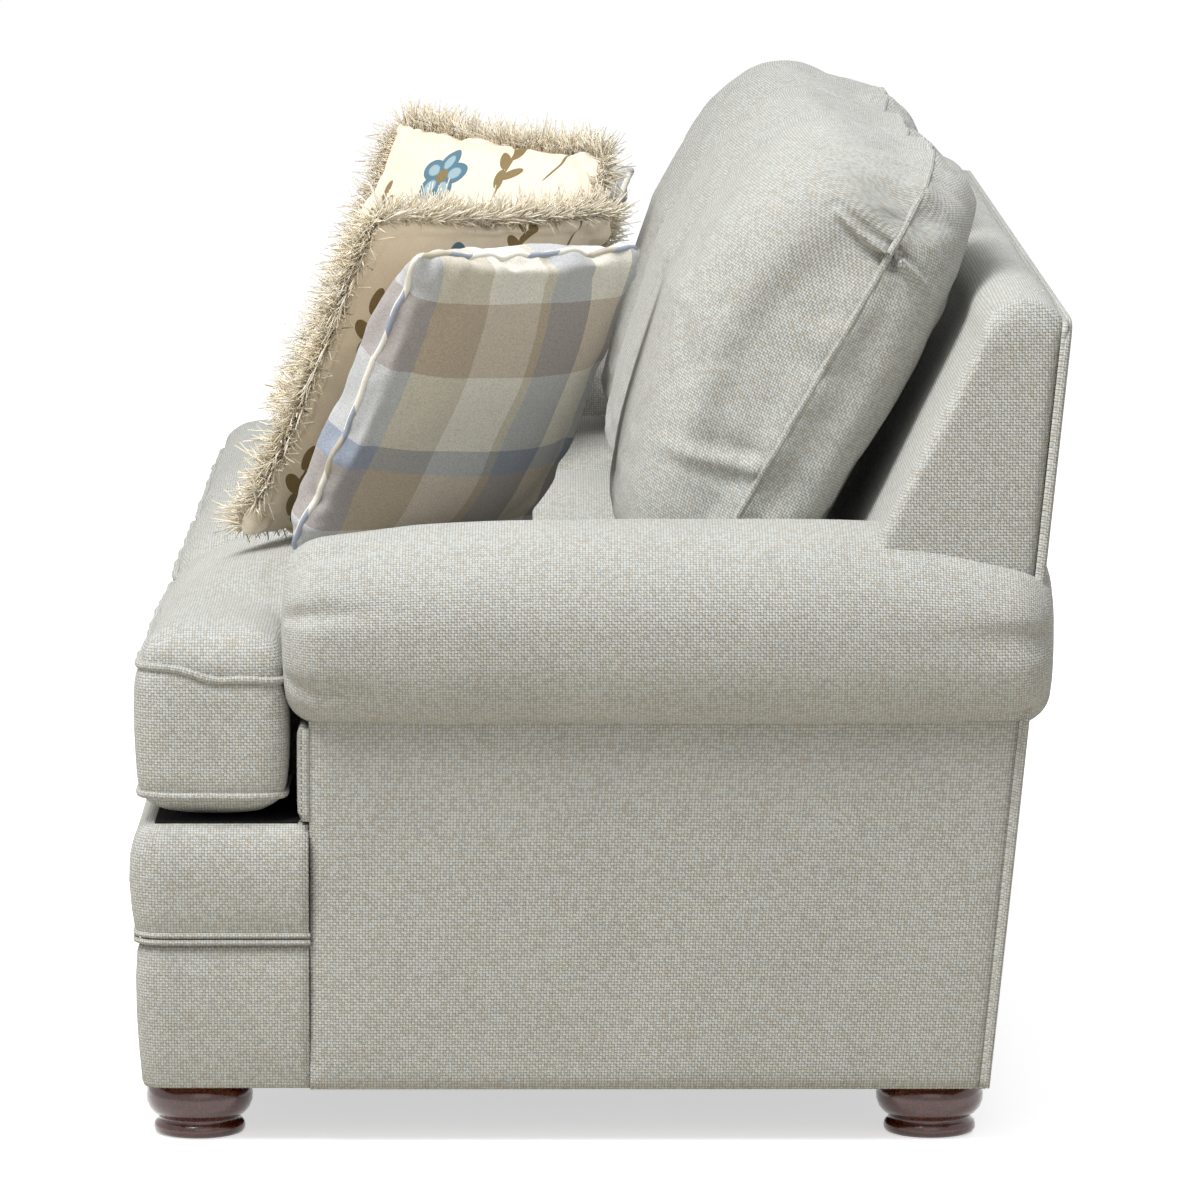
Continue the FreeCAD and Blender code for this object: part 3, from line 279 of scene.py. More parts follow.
def upholstery():
    """Heathered basket weave of pale, blue-grey and tan yarns, with painted shade in the gaps between the yarns."""
    recipe = Recipe("heathered_basket_weave")
    paint = colours()
    u, v = recipe.cloth_place()
    _, rise, streak = woven(recipe, u, v, sizes().weave_pitch)
    yarn = recipe.ramp(streak, [
        (0.28, paint.grey_yarn), (0.42, paint.tan_yarn), (0.52, paint.pale_yarn), (0.58, paint.pale_yarn),
        (0.74, paint.grey_yarn),
    ])
    cloud = recipe.noise(recipe.joined(u * 9, v * 9, 0.4), 1.0, 3.0, 0.6)
    worn = recipe.ramp(cloud, [(0.3, (0.93, 0.93, 0.93)), (0.7, (1.0, 1.0, 1.0))])
    # Painted shade: the colour darkens to about a third where the yarns dip into the gaps of the weave.
    gap_shade = recipe.ramp(rise, [(0.0, (0.34, 0.33, 0.31)), (0.70, (1.0, 1.0, 1.0))])
    base = recipe.blend(1.0, recipe.blend(1.0, yarn, gap_shade, "MULTIPLY"), worn, "MULTIPLY")
    fuzz = recipe.noise(recipe.joined(u * 900, v * 900, 2.0), 1.0, 2.0, 0.7)
    normal = recipe.bump(rise + fuzz * 0.35, 0.70, 0.0009)
    return recipe.finish({"Base Color": base, "Roughness": 0.93, "Specular IOR Level": 0.18,
                          "Sheen Weight": 0.22, "Sheen Roughness": 0.5, "Normal": normal})


def plaid_colour(recipe, u, v):
    """The colours of the wide bands both ways; plaid() mixes the two bands at each crossing."""
    paint = colours()
    cream, greige, taupe, blue = paint.plaid_cream, paint.plaid_greige, paint.plaid_taupe, paint.plaid_blue
    repeat = sizes().plaid_repeat
    warp_bands = [(0.0, cream), (0.22, greige), (0.42, blue), (0.62, cream), (0.78, blue), (0.96, greige)]
    weft_bands = [(0.0, cream), (0.24, taupe), (0.46, cream), (0.72, taupe), (0.92, blue)]
    warp = recipe.ramp((u / repeat + 0.03).wrapped(), warp_bands, "CONSTANT")
    weft = recipe.ramp((v / repeat + 0.10).wrapped(), weft_bands, "CONSTANT")
    return warp, weft


def plaid():
    """Plaid in cream, greige, taupe and blue-grey with a fine slubbed weave."""
    recipe = Recipe("woven_plaid")
    u, v = recipe.cloth_place()
    warp, weft = plaid_colour(recipe, u, v)
    over, rise, streak = woven(recipe, u, v, PLAID_PITCH)
    mixed = recipe.blend(over * 0.3 + 0.35, warp, weft, "MIX")
    crossed = recipe.blend(0.24, mixed, recipe.blend(1.0, warp, weft, "MULTIPLY"))
    slub = recipe.ramp(streak, [(0.3, (0.74, 0.74, 0.74)), (0.6, (1.06, 1.06, 1.06))])
    base = recipe.blend(1.0, crossed, slub, "MULTIPLY")
    normal = recipe.bump(rise + streak, 0.35, 0.0004)
    return recipe.finish({"Base Color": base, "Roughness": 0.88, "Specular IOR Level": 0.2,
                          "Sheen Weight": 0.2, "Normal": normal})


def bias_welt():
    """The plaid cut on the bias: piping whose colour changes along its run."""
    recipe = Recipe("bias_cut_plaid_piping")
    paint = colours()
    u, v = recipe.cloth_place()
    run = (u + v * 1.5) / 0.28
    base = recipe.ramp(run.wrapped(), [
        (0.0, paint.plaid_cream), (0.34, paint.plaid_blue), (0.52, paint.plaid_cream), (0.70, paint.plaid_greige),
        (0.86, paint.plaid_blue),
    ], "CONSTANT")
    _, rise, streak = woven(recipe, u + v, u - v, PLAID_PITCH)
    slub = recipe.ramp(streak, [(0.3, (0.86, 0.86, 0.86)), (0.6, (1.04, 1.04, 1.04))])
    return recipe.finish({"Base Color": recipe.blend(1.0, base, slub, "MULTIPLY"), "Roughness": 0.88,
                          "Specular IOR Level": 0.2, "Normal": recipe.bump(rise, 0.3, 0.0004)})


def petal(u, v, centre, turn, long_half, short_half):
    """How far inside an ellipse a point is: 1 at its middle and 0 at its edge and beyond."""
    cosine, sine = math.cos(math.radians(turn)), math.sin(math.radians(turn))
    along = ((u - centre[0]) * cosine + (v - centre[1]) * sine) / long_half
    across = ((v - centre[1]) * cosine - (u - centre[0]) * sine) / short_half
    return (1 - (along * along + across * across)).most(0.0)


def most_of(shades):
    best = shades[0]
    for shade in shades[1:]:
        best = best.most(shade)
    return best


def embroidery():
    """Linen with five-petalled blooms and leaf sprigs, stitched in a half-drop repeat."""
    recipe = Recipe("embroidered_linen")
    paint = colours()
    u, v = recipe.cloth_place()
    repeat = sizes().sprig_repeat
    column = (u / repeat).floor()
    x = (u / repeat).wrapped()
    y = (v / repeat + column.wrapped(2.0) * 0.5).wrapped()
    leaves = []
    for step, turn in enumerate((62, 150, 40, 128, 86)):
        root = (0.70 + 0.035 * step * 0.6, 0.13 + 0.078 * step)
        reach = 0.075
        centre = (root[0] + reach * math.cos(math.radians(turn)), root[1] + reach * math.sin(math.radians(turn)))
        leaves.append(petal(x, y, centre, turn, 0.086, 0.040))
    leaves.append(petal(x, y, (0.735, 0.28), 77, 0.21, 0.0120))
    sprig = most_of(leaves)
    blooms = []
    for step in range(5):
        turn = 18 + 72 * step
        centre = (0.27 + 0.104 * math.cos(math.radians(turn)), 0.66 + 0.104 * math.sin(math.radians(turn)))
        blooms.append(petal(x, y, centre, turn, 0.104, 0.080))
    bloom = most_of(blooms)
    heart = petal(x, y, (0.27, 0.66), 0, 0.050, 0.050)
    stem = petal(x, y, (0.33, 0.40), 108, 0.17, 0.0120)
    floss = recipe.noise(recipe.joined(u * 1100, v * 260, 1.3), 1.0, 2.0, 0.6)
    _, rise, streak = woven(recipe, u, v, LINEN_PITCH)
    yarns = recipe.ramp(streak, [(0.3, (0.90, 0.89, 0.87)), (0.6, (1.02, 1.02, 1.01))])
    ground = recipe.blend(1.0, paint.linen, yarns, "MULTIPLY")
    leaf = recipe.ramp(floss, [(0.25, tuple(c * 0.62 for c in paint.leaf)), (0.75, paint.leaf)])
    petals = recipe.ramp(bloom + floss * 0.20, [(0.05, paint.bloom), (0.80, paint.bloom), (0.90, paint.bloom_pale)])
    base = recipe.blend(sprig > 0.02, ground, leaf)
    base = recipe.blend(stem > 0.02, base, leaf)
    base = recipe.blend(bloom > 0.02, base, petals)
    base = recipe.blend(heart > 0.02, base, leaf)
    stitched = most_of([sprig, bloom, heart, stem]) > 0.02
    height = rise * 0.25 + stitched * (1.0 + floss)
    return recipe.finish({"Base Color": base, "Roughness": 0.86, "Specular IOR Level": 0.2,
                          "Sheen Weight": 0.15, "Normal": recipe.bump(height, 0.5, 0.0006)})


def fringe_yarn():
    """Cut cotton yarn, darker and warmer along the half nearest its root at the seam."""
    recipe = Recipe("brush_fringe_yarn")
    paint = colours()
    u, v = recipe.cloth_place()
    lot = recipe.noise(recipe.joined(u * 260, 0.0, 5.0), 1.0, 1.0, 0.5)
    shade = recipe.ramp(lot, [(0.32, paint.fringe_dark), (0.52, paint.fringe), (0.70, (0.93, 0.89, 0.80))])
    # Darker and warmer towards the root of each yarn, even from its middle to its tip.
    root_darkening = recipe.ramp(v, [(0.0, (0.90, 0.86, 0.80)), (0.5, (1.0, 1.0, 1.0))])
    base = recipe.blend(1.0, shade, root_darkening, "MULTIPLY")
    twist = recipe.noise(recipe.joined(u * 900, v * 40, 0.0), 1.0, 1.0, 0.5)
    return recipe.finish({"Base Color": base, "Roughness": 0.9, "Specular IOR Level": 0.15,
                          "Sheen Weight": 0.2, "Normal": recipe.bump(twist, 0.3, 0.0004)})


def stained_wood():
    """Dark turned mahogany under a satin lacquer."""
    recipe = Recipe("stained_mahogany")
    paint = colours()
    place = recipe.object_place()
    x, y, z = recipe.parts(place)
    grain = recipe.noise(recipe.joined(x * 22, y * 240, z * 240), 1.0, 4.0, 0.65)
    fleck = recipe.noise(recipe.joined(x * 60, y * 700, z * 700), 1.0, 2.0, 0.6)
    base = recipe.ramp(grain * 0.7 + fleck * 0.3, [
        (0.30, paint.mahogany_dark), (0.52, paint.mahogany), (0.75, tuple(c * 2.4 for c in paint.mahogany)),
    ])
    rough = recipe.ramp(grain, [(0.3, (0.20, 0.20, 0.20)), (0.8, (0.34, 0.34, 0.34))])
    return recipe.finish({"Base Color": base, "Roughness": rough, "Coat Weight": 0.6, "Coat Roughness": 0.12,
                          "Normal": recipe.bump(fleck, 0.08, 0.0005)})


def sawn_wood():
    """Plain hardwood boards of the hidden frame."""
    recipe = Recipe("sawn_hardwood")
    x, y, z = recipe.parts(recipe.object_place())
    grain = recipe.noise(recipe.joined(x * 6, y * 90, z * 90), 1.0, 4.0, 0.6)
    base = recipe.ramp(grain, [(0.3, linear("a5824f")), (0.55, linear("cfae7c")), (0.8, linear("dcc197"))])
    return recipe.finish({"Base Color": base, "Roughness": 0.7, "Normal": recipe.bump(grain, 0.2, 0.0008)})


def coated_steel():
    """Dark coated spring steel."""
    recipe = Recipe("coated_spring_steel")
    speck = recipe.noise(recipe.object_place(), 400.0, 3.0, 0.6)
    base = recipe.ramp(speck, [(0.3, (0.02, 0.02, 0.022)), (0.7, (0.06, 0.06, 0.065))])
    rough = recipe.ramp(speck, [(0.3, (0.30, 0.30, 0.30)), (0.7, (0.5, 0.5, 0.5))])
    return recipe.finish({"Base Color": base, "Metallic": 0.7, "Roughness": rough})


def plain_cloth(name, dark, light, pitch):
    """A hidden cloth or pad: a weave read from where the surface lies."""
    recipe = Recipe(name)
    x, y, z = recipe.parts(recipe.object_place())
    _, rise, streak = woven(recipe, x, y + z, pitch)
    base = recipe.ramp(streak, [(0.3, dark), (0.7, light)])
    return recipe.finish({"Base Color": base, "Roughness": 0.95, "Specular IOR Level": 0.1,
                          "Normal": recipe.bump(rise, 0.4, pitch / 4)})


MATERIAL_MAKERS = {
    "upholstery": upholstery,
    "plaid": plaid,
    "bias_welt": bias_welt,
    "floral": embroidery,
    "fringe": fringe_yarn,
    "dark_wood": stained_wood,
    "frame_wood": sawn_wood,
    "steel": coated_steel,
    "webbing": lambda: plain_cloth("jute_webbing", linear("7d6540"), linear("b89c68"), 0.004),
    "padding": lambda: plain_cloth("felted_pad", linear("c9c6bb"), linear("ece9df"), 0.006),
    "lining": lambda: plain_cloth("black_lining", linear("121213"), linear("2b2b2d"), 0.002),
    "inner_cloth": lambda: plain_cloth("upholstery_wrong_side", linear("6f716f"), linear("a7a9a5"), 0.003),
    "foam": lambda: plain_cloth("fibre_wrapped_foam", linear("d8cda4"), linear("f1e9c8"), 0.005),
}
made_materials = {}


def finish_of(name):
    """Each material is made once."""
    if name not in made_materials:
        made_materials[name] = MATERIAL_MAKERS[name]()
    return made_materials[name]


# Modelling helpers

def select_only(piece):
    for other in bpy.context.selected_objects:
        other.select_set(False)
    piece.select_set(True)
    bpy.context.view_layer.objects.active = piece


def dressed(piece, material, body, slot, replaced=()):
    """Gives a finished piece its material and its body, and hides the nodes that it stands for."""
    piece.data.materials.clear()
    piece.data.materials.append(finish_of(material))
    select_only(piece)
    bpy.ops.object.shade_smooth()
    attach(piece, body)
    if replaced:
        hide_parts(*replaced)
    return piece


def apply_modifier(piece, kind, **settings):
    modifier = piece.modifiers.new(kind.title(), kind)
    for name, value in settings.items():
        setattr(modifier, name, value)
    if kind == "SUBSURF":
        modifier.render_levels = modifier.levels
    select_only(piece)
    bpy.ops.object.modifier_apply(modifier=modifier.name)


def grid_form(name, columns, rows, place, cloth):
    """A grid bent by place(u, v) into a form, its cloth map from cloth(u, v) in metres."""
    bpy.ops.object.select_all(action="DESELECT")
    bpy.ops.mesh.primitive_grid_add(x_subdivisions=columns, y_subdivisions=rows, size=2)
    piece = bpy.context.object
    piece.name = name
    mesh = piece.data
    mesh.uv_layers[0].name = "Cloth"
    for loop in mesh.uv_layers["Cloth"].data:
        loop.uv = cloth(loop.uv.x, loop.uv.y)
    for vertex in mesh.vertices:
        vertex.co = place((vertex.co.x + 1) / 2, (vertex.co.y + 1) / 2)
    closed(piece)
    return piece


def closed(piece, distance=1e-5):
    """Merges what meets and turns the faces outwards."""
    form = bmesh.new()
    form.from_mesh(piece.data)
    bmesh.ops.remove_doubles(form, verts=form.verts, dist=distance)
    bmesh.ops.dissolve_degenerate(form, edges=form.edges, dist=distance / 10)
    bmesh.ops.recalc_face_normals(form, faces=form.faces)
    form.to_mesh(piece.data)
    form.free()


def join(name, pieces):
    """Several meshes as one piece."""
    for other in bpy.context.selected_objects:
        other.select_set(False)
    for piece in pieces:
        piece.select_set(True)
    bpy.context.view_layer.objects.active = pieces[0]
    bpy.ops.object.join()
    pieces[0].name = name
    return pieces[0]


def soft_copy(name, node, voxel, rounds):
    """The outer skin of a CAD solid, remeshed evenly and smoothed."""
    mesh = nodes[node].data.copy()
    piece = bpy.data.objects.new(name, mesh)
    bpy.context.scene.collection.objects.link(piece)
    closed(piece, 1e-6)
    keep_outer_skin(piece)
    piece.data.remesh_voxel_size = voxel
    select_only(piece)
    bpy.ops.object.voxel_remesh()
    apply_modifier(piece, "SMOOTH", factor=0.5, iterations=rounds)
    return piece


def keep_outer_skin(piece):
    """Removes inner shells, such as the hollow round a core."""
    form = bmesh.new()
    form.from_mesh(piece.data)
    seen, shells = set(), []
    for start in form.verts:
        if start in seen:
            continue
        shell, edge = [], [start]
        seen.add(start)
        while edge:
            vertex = edge.pop()
            shell.append(vertex)
            for link in vertex.link_edges:
                other = link.other_vert(vertex)
                if other not in seen:
                    seen.add(other)
                    edge.append(other)
        shells.append(shell)
    shells.sort(key=lambda shell: max(v.co.x for v in shell) - min(v.co.x for v in shell))
    inner = [vertex for shell in shells[:-1] for vertex in shell]
    bmesh.ops.delete(form, geom=inner, context="VERTS")
    form.to_mesh(piece.data)
    form.free()


def lay_cloth(piece, rule=None):
    """A cloth map in metres from where each face lies; by default it follows the axis that the face looks along."""
    mesh = piece.data
    layer = mesh.uv_layers.get("Cloth") or mesh.uv_layers.new(name="Cloth")
    for face in mesh.polygons:
        normal = face.normal
        for index in face.loop_indices:
            place = mesh.vertices[mesh.loops[index].vertex_index].co
            spot = (rule or boxed)(place, normal)
            if spot:
                layer.data[index].uv = spot


def end_rule(place, normal):
    """Only the flat ends are mapped anew."""
    return (place.x, place.z) if abs(normal.y) > 0.8 else None


def boxed(place, normal):
    """The two coordinates that a face lies along."""
    if abs(normal.z) > 0.72:
        return place.x, place.y
    if abs(normal.x) > abs(normal.y):
        return place.y, place.z
    return place.x, place.z


def inflated(piece, seam, cap, pressure=4.0):
    """Puffs a cushion up with Cloth, its seam held, and caps how far a point moves."""
    before = [vertex.co.copy() for vertex in piece.data.vertices]
    tree = tree_of(seam)
    group = piece.vertex_groups.new(name="seam")
    near = [v.index for v in piece.data.vertices if tree.find(v.co)[2] < 0.006]
    group.add(near, 1.0, "REPLACE")
    cloth = piece.modifiers.new("Cloth", "CLOTH")
    cloth.settings.quality = 4
    cloth.settings.use_pressure = True
    cloth.settings.uniform_pressure_force = pressure
    cloth.settings.effector_weights.gravity = 0
    cloth.settings.vertex_group_mass = "seam"
    cloth.settings.tension_stiffness = 20
    cloth.settings.compression_stiffness = 20
    cloth.collision_settings.use_collision = False
    scene = bpy.context.scene
    for step in range(1, 12):
        scene.frame_set(step)
    select_only(piece)
    bpy.ops.object.modifier_apply(modifier=cloth.name)
    scene.frame_set(1)
    for vertex, start in zip(piece.data.vertices, before):
        move = vertex.co - start
        if move.length > cap:
            vertex.co = start + move.normalized() * cap
    piece.vertex_groups.clear()


def tree_of(points):
    tree = KDTree(len(points))
    for index, point in enumerate(points):
        tree.insert(point, index)
    tree.balance()
    return tree


def gathered(piece, seam, depth, spacing, reach, seed, crease=0.0, crease_reach=0.01):
    """Ripples that run out from a seam, deepest beside it, and a crease along the seam itself."""
    tree = tree_of(seam)
    step = (seam[1] - seam[0]).length
    moves = []
    for vertex in piece.data.vertices:
        index, away = tree.find(vertex.co)[1:]
        if away > reach * 4:
            moves.append(0.0)
            continue
        run = index * step
        wave = noise.noise(Vector((run / spacing, away / reach * 0.7, seed)))
        wave += 0.5 * noise.noise(Vector((run / spacing * 2.3, away / reach, seed + 9.1)))
        moves.append(depth * wave * math.exp(-away / reach) - crease * math.exp(-(away / crease_reach) ** 2))
    shifts = [vertex.normal * move for vertex, move in zip(piece.data.vertices, moves)]
    for vertex, shift in zip(piece.data.vertices, shifts):
        vertex.co += shift


def rumpled(piece, depth, spacing, seed):
    """Slow unevenness of stuffed cloth."""
    moves = [vertex.normal * depth * noise.noise(vertex.co / spacing + Vector((seed, 0, 0)))
             for vertex in piece.data.vertices]
    for vertex, move in zip(piece.data.vertices, moves):
        vertex.co += move


def rounded_outline(points, radii, step=0.006):
    """A flat outline with rounded corners, as evenly spaced points."""
    count = len(points)
    dense = []
    for i in range(count):
        here = Vector(points[i])
        back = (Vector(points[i - 1]) - here).normalized()
        ahead = (Vector(points[(i + 1) % count]) - here).normalized()
        half = back.angle(ahead) / 2
        radius = radii[i]
        centre = here + (back + ahead).normalized() * (radius / math.sin(half))
        start = here + back * (radius / math.tan(half)) - centre
        end = here + ahead * (radius / math.tan(half)) - centre
        parts = max(2, int(radius * (math.pi - 2 * half) / step))
        for part in range(parts + 1):
            share = part / parts
            dense.append(centre + start.slerp(end, share) * radius)
    return evened(dense, step, True)


def evened(points, step, loop):
    """The same run with points a fixed step apart."""
    run = list(points) + ([points[0]] if loop else [])
    lengths = [0.0]
    for a, b in zip(run, run[1:]):
        lengths.append(lengths[-1] + (b - a).length)
    count = max(3, round(lengths[-1] / step))
    result, place = [], 0
    for i in range(count if loop else count + 1):
        want = lengths[-1] * i / count
        while place < len(lengths) - 2 and lengths[place + 1] < want:
            place += 1
        span = lengths[place + 1] - lengths[place]
        share = (want - lengths[place]) / span if span else 0
        result.append(run[place].lerp(run[place + 1], share))
    return result


def on_surface(piece, points, lift):
    """Moves points to the nearest place on a piece, then out by lift."""
    depsgraph = bpy.context.evaluated_depsgraph_get()
    tree = BVHTree.FromObject(piece, depsgraph)
    moved = []
    for point in points:
        place, normal = tree.find_nearest(point)[:2]
        moved.append(place + normal * lift)
    return moved


def settled_run(points, rounds, loop):
    """Evens out small kinks along a run of points."""
    count = len(points)
    for _ in range(rounds):
        smoothed = []
        for i, point in enumerate(points):
            if not loop and i in (0, count - 1):
                smoothed.append(point)
                continue
            smoothed.append(point * 0.5 + (points[i - 1] + points[(i + 1) % count]) * 0.25)
        points = smoothed
    return points


def piping(name, path, radius, loop, sides=10):
    """A round tube along a path, its cloth map along and round it."""
    count = len(path)
    tangents = []
    for i in range(count):
        before = path[i - 1] if loop or i > 0 else path[i]
        after = path[(i + 1) % count] if loop or i < count - 1 else path[i]
        tangents.append((after - before).normalized())
    first = tangents[0].orthogonal().normalized()
    ups = [first]
    for i in range(1, count):
        up = ups[-1] - tangents[i] * ups[-1].dot(tangents[i])
        ups.append(up.normalized())
    twist = 0.0
    if loop:
        last = ups[-1] - tangents[0] * ups[-1].dot(tangents[0])
        twist = last.normalized().angle(first) * (1 if last.cross(first).dot(tangents[0]) > 0 else -1)
    columns = count if loop else count - 1
    span = sum((b - a).length for a, b in zip(path, path[1:]))

    def place(u, v):
        index = round(u * columns)
        here, along, up = path[index % count], tangents[index % count], ups[index % count]
        if loop and index == columns:
            up = first
            turned = 0.0
        else:
            turned = twist * index / columns
        angle = v * 2 * math.pi + turned
        return here + (up * math.cos(angle) + along.cross(up) * math.sin(angle)) * radius

    tube = grid_form(name, columns, sides, place, lambda u, v: (u * span, v * 2 * math.pi * radius))
    if not loop:
        form = bmesh.new()
        form.from_mesh(tube.data)
        bmesh.ops.holes_fill(form, edges=form.edges, sides=0)
        bmesh.ops.recalc_face_normals(form, faces=form.faces)
        form.to_mesh(tube.data)
        form.free()
    return tube


def arc_through(first, middle, last, count):
    """Points of the arc through three flat points, the last left out."""
    ax, ay = first
    bx, by = middle
    cx, cy = last
    d = 2 * (ax * (by - cy) + bx * (cy - ay) + cx * (ay - by))
    ux = ((ax * ax + ay * ay) * (by - cy) + (bx * bx + by * by) * (cy - ay) + (cx * cx + cy * cy) * (ay - by)) / d
    uy = ((ax * ax + ay * ay) * (cx - bx) + (bx * bx + by * by) * (ax - cx) + (cx * cx + cy * cy) * (bx - ax)) / d
    radius = math.hypot(ax - ux, ay - uy)
    a0, a1, a2 = (math.atan2(y - uy, x - ux) for x, y in (first, middle, last))
    sweep, part = (a2 - a0) % (2 * math.pi), (a1 - a0) % (2 * math.pi)
    if part > sweep:
        sweep -= 2 * math.pi
    return [(ux + radius * math.cos(a0 + sweep * i / count), uy + radius * math.sin(a0 + sweep * i / count))
            for i in range(count)]


def line_between(first, last, count):
    """Points of a flat line, the last left out."""
    return [(first[0] + (last[0] - first[0]) * i / count, first[1] + (last[1] - first[1]) * i / count)
            for i in range(count)]


def section_form(name, ring, stations, place, heart):
    """A closed form lofted through one section: stations are (place along, share of the section) rows."""
    count = len(ring)
    lengths = [0.0]
    for i in range(count):
        a, b = ring[i], ring[(i + 1) % count]
        lengths.append(lengths[-1] + math.hypot(b[0] - a[0], b[1] - a[1]))

    def point(u, v):
        along, share = stations[round(u * (len(stations) - 1))]
        spot = ring[round(v * count) % count]
        flat = (heart[0] + (spot[0] - heart[0]) * share, heart[1] + (spot[1] - heart[1]) * share)
        return place(along, flat, share, round(v * count) % count)

    def cloth(u, v):
        along, share = stations[round(u * (len(stations) - 1))]
        reach = (1 - share) * 0.1
        return along + (reach if u > 0.5 else -reach), lengths[round(v * count)]

    return grid_form(name, len(stations) - 1, count, point, cloth)


def end_stations(low, high, soft, half, rounding=7, cap=6, step=0.012):
    """Stations along a form whose ends round off and close: (place, share of the section)."""
    end_share = 1 - soft / half
    stations = []
    for i in range(cap):
        share = end_share * i / cap
        stations.append((0.0, share))
    for i in range(rounding):
        angle = math.pi / 2 * i / rounding
        stations.append((soft * (1 - math.cos(angle)), end_share + (1 - end_share) * math.sin(angle)))
    first = [(low + away, share) for away, share in stations]
    last = [(high - away, share) for away, share in reversed(stations)]
    count = max(4, round((high - low - 2 * soft) / step))
    middle = [(low + soft + (high - low - 2 * soft) * i / count, 1.0) for i in range(count + 1)]
    return first + middle + last


# Fixed pieces

def arm_ring():
    """Section of an arm roll on the left: inner face, shoulder, outer roll and underside, as (x, z)."""
    inner, shoulder = ARM_INNER, 0.545
    centre, middle, radius = 1.042, 0.558, 0.107
    low, top, diagonal = middle - radius, middle + radius, radius * 0.7071
    ring = line_between((inner, low), (inner, shoulder), 8)
    ring += arc_through((inner, shoulder), (0.9334, 0.6342), (centre, top), 20)
    ring += arc_through((centre, top), (centre + diagonal, middle + diagonal), (centre + radius, middle), 18)
    for step in range(18):
        angle = math.pi / 2 * step / 18
        out, down = math.cos(angle) ** 0.72, math.sin(angle) ** 0.72
        ring.append((centre + radius * out, middle - radius * down))
    ring += line_between((centre, low), (inner, low), 10)
    return ring


def arm_roll(side):
    """A padded arm roll: lower towards its ends, pleated where it turns over them."""
    sign = SIDES[side]
    ring = arm_ring()
    heart = (1.0245, 0.558)
    front, rear = -0.336, 0.475
    soft = sizes().arm_end_round
    stations = end_stations(front, rear, soft, 0.12)
    pleats = {"front": (14, 24, 33, 43, 52), "rear": (14, 22, 34, 46, 57)}

    def place(along, flat, share, index):
        x, z = flat
        if z > heart[1]:
            drop = 0.020 * max(0.0, (-0.02 - along) / 0.316) ** 1.8 + 0.030 * max(0.0, (along - 0.20) / 0.275) ** 2.2
            z -= drop * (z - heart[1]) / 0.107
        end = "front" if along < 0 else "rear"
        away = along - front if along < 0 else rear - along
        fold = 0.0
        if away < 0.12:
            for spot in pleats[end]:
                near = math.exp(-((index - spot) / 1.25) ** 2)
                fold += near * min(1.0, share * 1.15) ** 3 * math.exp(-(away / 0.075) ** 2)
        out = Vector((flat[0] - heart[0], 0, flat[1] - heart[1]))
        spot = Vector((x, along, z))
        if out.length:
            spot -= out.normalized() * fold * 0.0120
        belly = (1 - share ** 2) * 0.010
        spot.y += -belly if along < 0 else belly
        spot += out.normalized() * 0.0022 * noise.noise(Vector((x * 4, along * 7, z * 5))) if out.length else Vector()
        spot.x *= sign
        return spot

    return section_form(f"arm_roll_{side}", ring, stations, place, heart)


def plate(name, corners, outward, thick, columns, rows, puff=0.0, seed=0.0, curl=0.0):
    """A padded flat panel between four corners: low first, low second, high second, high first."""
    low_a, low_b, high_b, high_a = (Vector(corner) for corner in corners)
    wide, tall = (low_b - low_a).length, (high_a - low_a).length
    outward = Vector(outward)

    def place(u, v):
        spot = low_a.lerp(low_b, u).lerp(high_a.lerp(high_b, u), v)
        edge = min(u * wide, (1 - u) * wide, v * tall, (1 - v) * tall)
        swell = puff * (1 - math.exp(-edge / 0.05)) - curl * math.exp(-edge / 0.004)
        swell += 0.0012 * noise.noise(spot * 5 + Vector((seed, 0, 0))) * min(1, edge / 0.03)
        return spot + outward * swell

    panel = grid_form(name, columns, rows, place, lambda u, v: (u * wide, v * tall))
    turn_to(panel, outward)
    apply_modifier(panel, "SOLIDIFY", thickness=thick, offset=-1)
    return panel


def turn_to(piece, outward):
    """An open sheet's faces look one way."""
    total = sum((face.normal * face.area for face in piece.data.polygons), Vector())
    if total.dot(outward) < 0:
        piece.data.flip_normals()


def band(name, low, high, profile, thick):
    """A band round the front box: profile gives (share of height, outward) pairs, the last ones turned in on top."""
    rear, step = -0.3156, 0.012
    corner = rounded_corner(Vector((BOX_SIDE, BOX_FRONT)), BOX_CORNER)
    half = [Vector((BOX_SIDE, rear))] + corner
    path = evened(half + [Vector((-spot.x, spot.y)) for spot in reversed(half)], step, False)
    normals = []
    for i, spot in enumerate(path):
        along = path[min(i + 1, len(path) - 1)] - path[max(i - 1, 0)]
        out = Vector((along.y, -along.x)).normalized()
        normals.append(out if out.dot(spot) > 0 else -out)
    count = len(profile) - 1
    reach = [0.0]
    for (a, b), (c, d) in zip(profile, profile[1:]):
        reach.append(reach[-1] + math.hypot((c - a) * (high - low), d - b))

    def place(u, v):
        index = round(u * (len(path) - 1))
        spot, out = path[index], normals[index]
        share, swell = profile[round(v * count)]
        swell += 0.0014 * noise.noise(Vector((spot.x * 5, spot.y * 5, share * 2)))
        return Vector((spot.x + out.x * swell, spot.y + out.y * swell, low + (high - low) * share))

    def cloth(u, v):
        return u * step * len(path), reach[round(v * count)]

    piece = grid_form(name, len(path) - 1, count, place, cloth)
    if sum(face.normal.xy.dot(face.center.xy) * face.area for face in piece.data.polygons) < 0:
        piece.data.flip_normals()
    apply_modifier(piece, "SOLIDIFY", thickness=thick, offset=-1)
    return piece


def rounded_corner(corner, radius, parts=8):
    """The front left corner in plan, from the side round to the front."""
    centre = Vector((corner.x - radius, corner.y + radius))
    return [centre + Vector((radius * math.cos(a), -radius * math.sin(a)))
            for a in (math.pi / 2 * i / parts for i in range(parts + 1))]


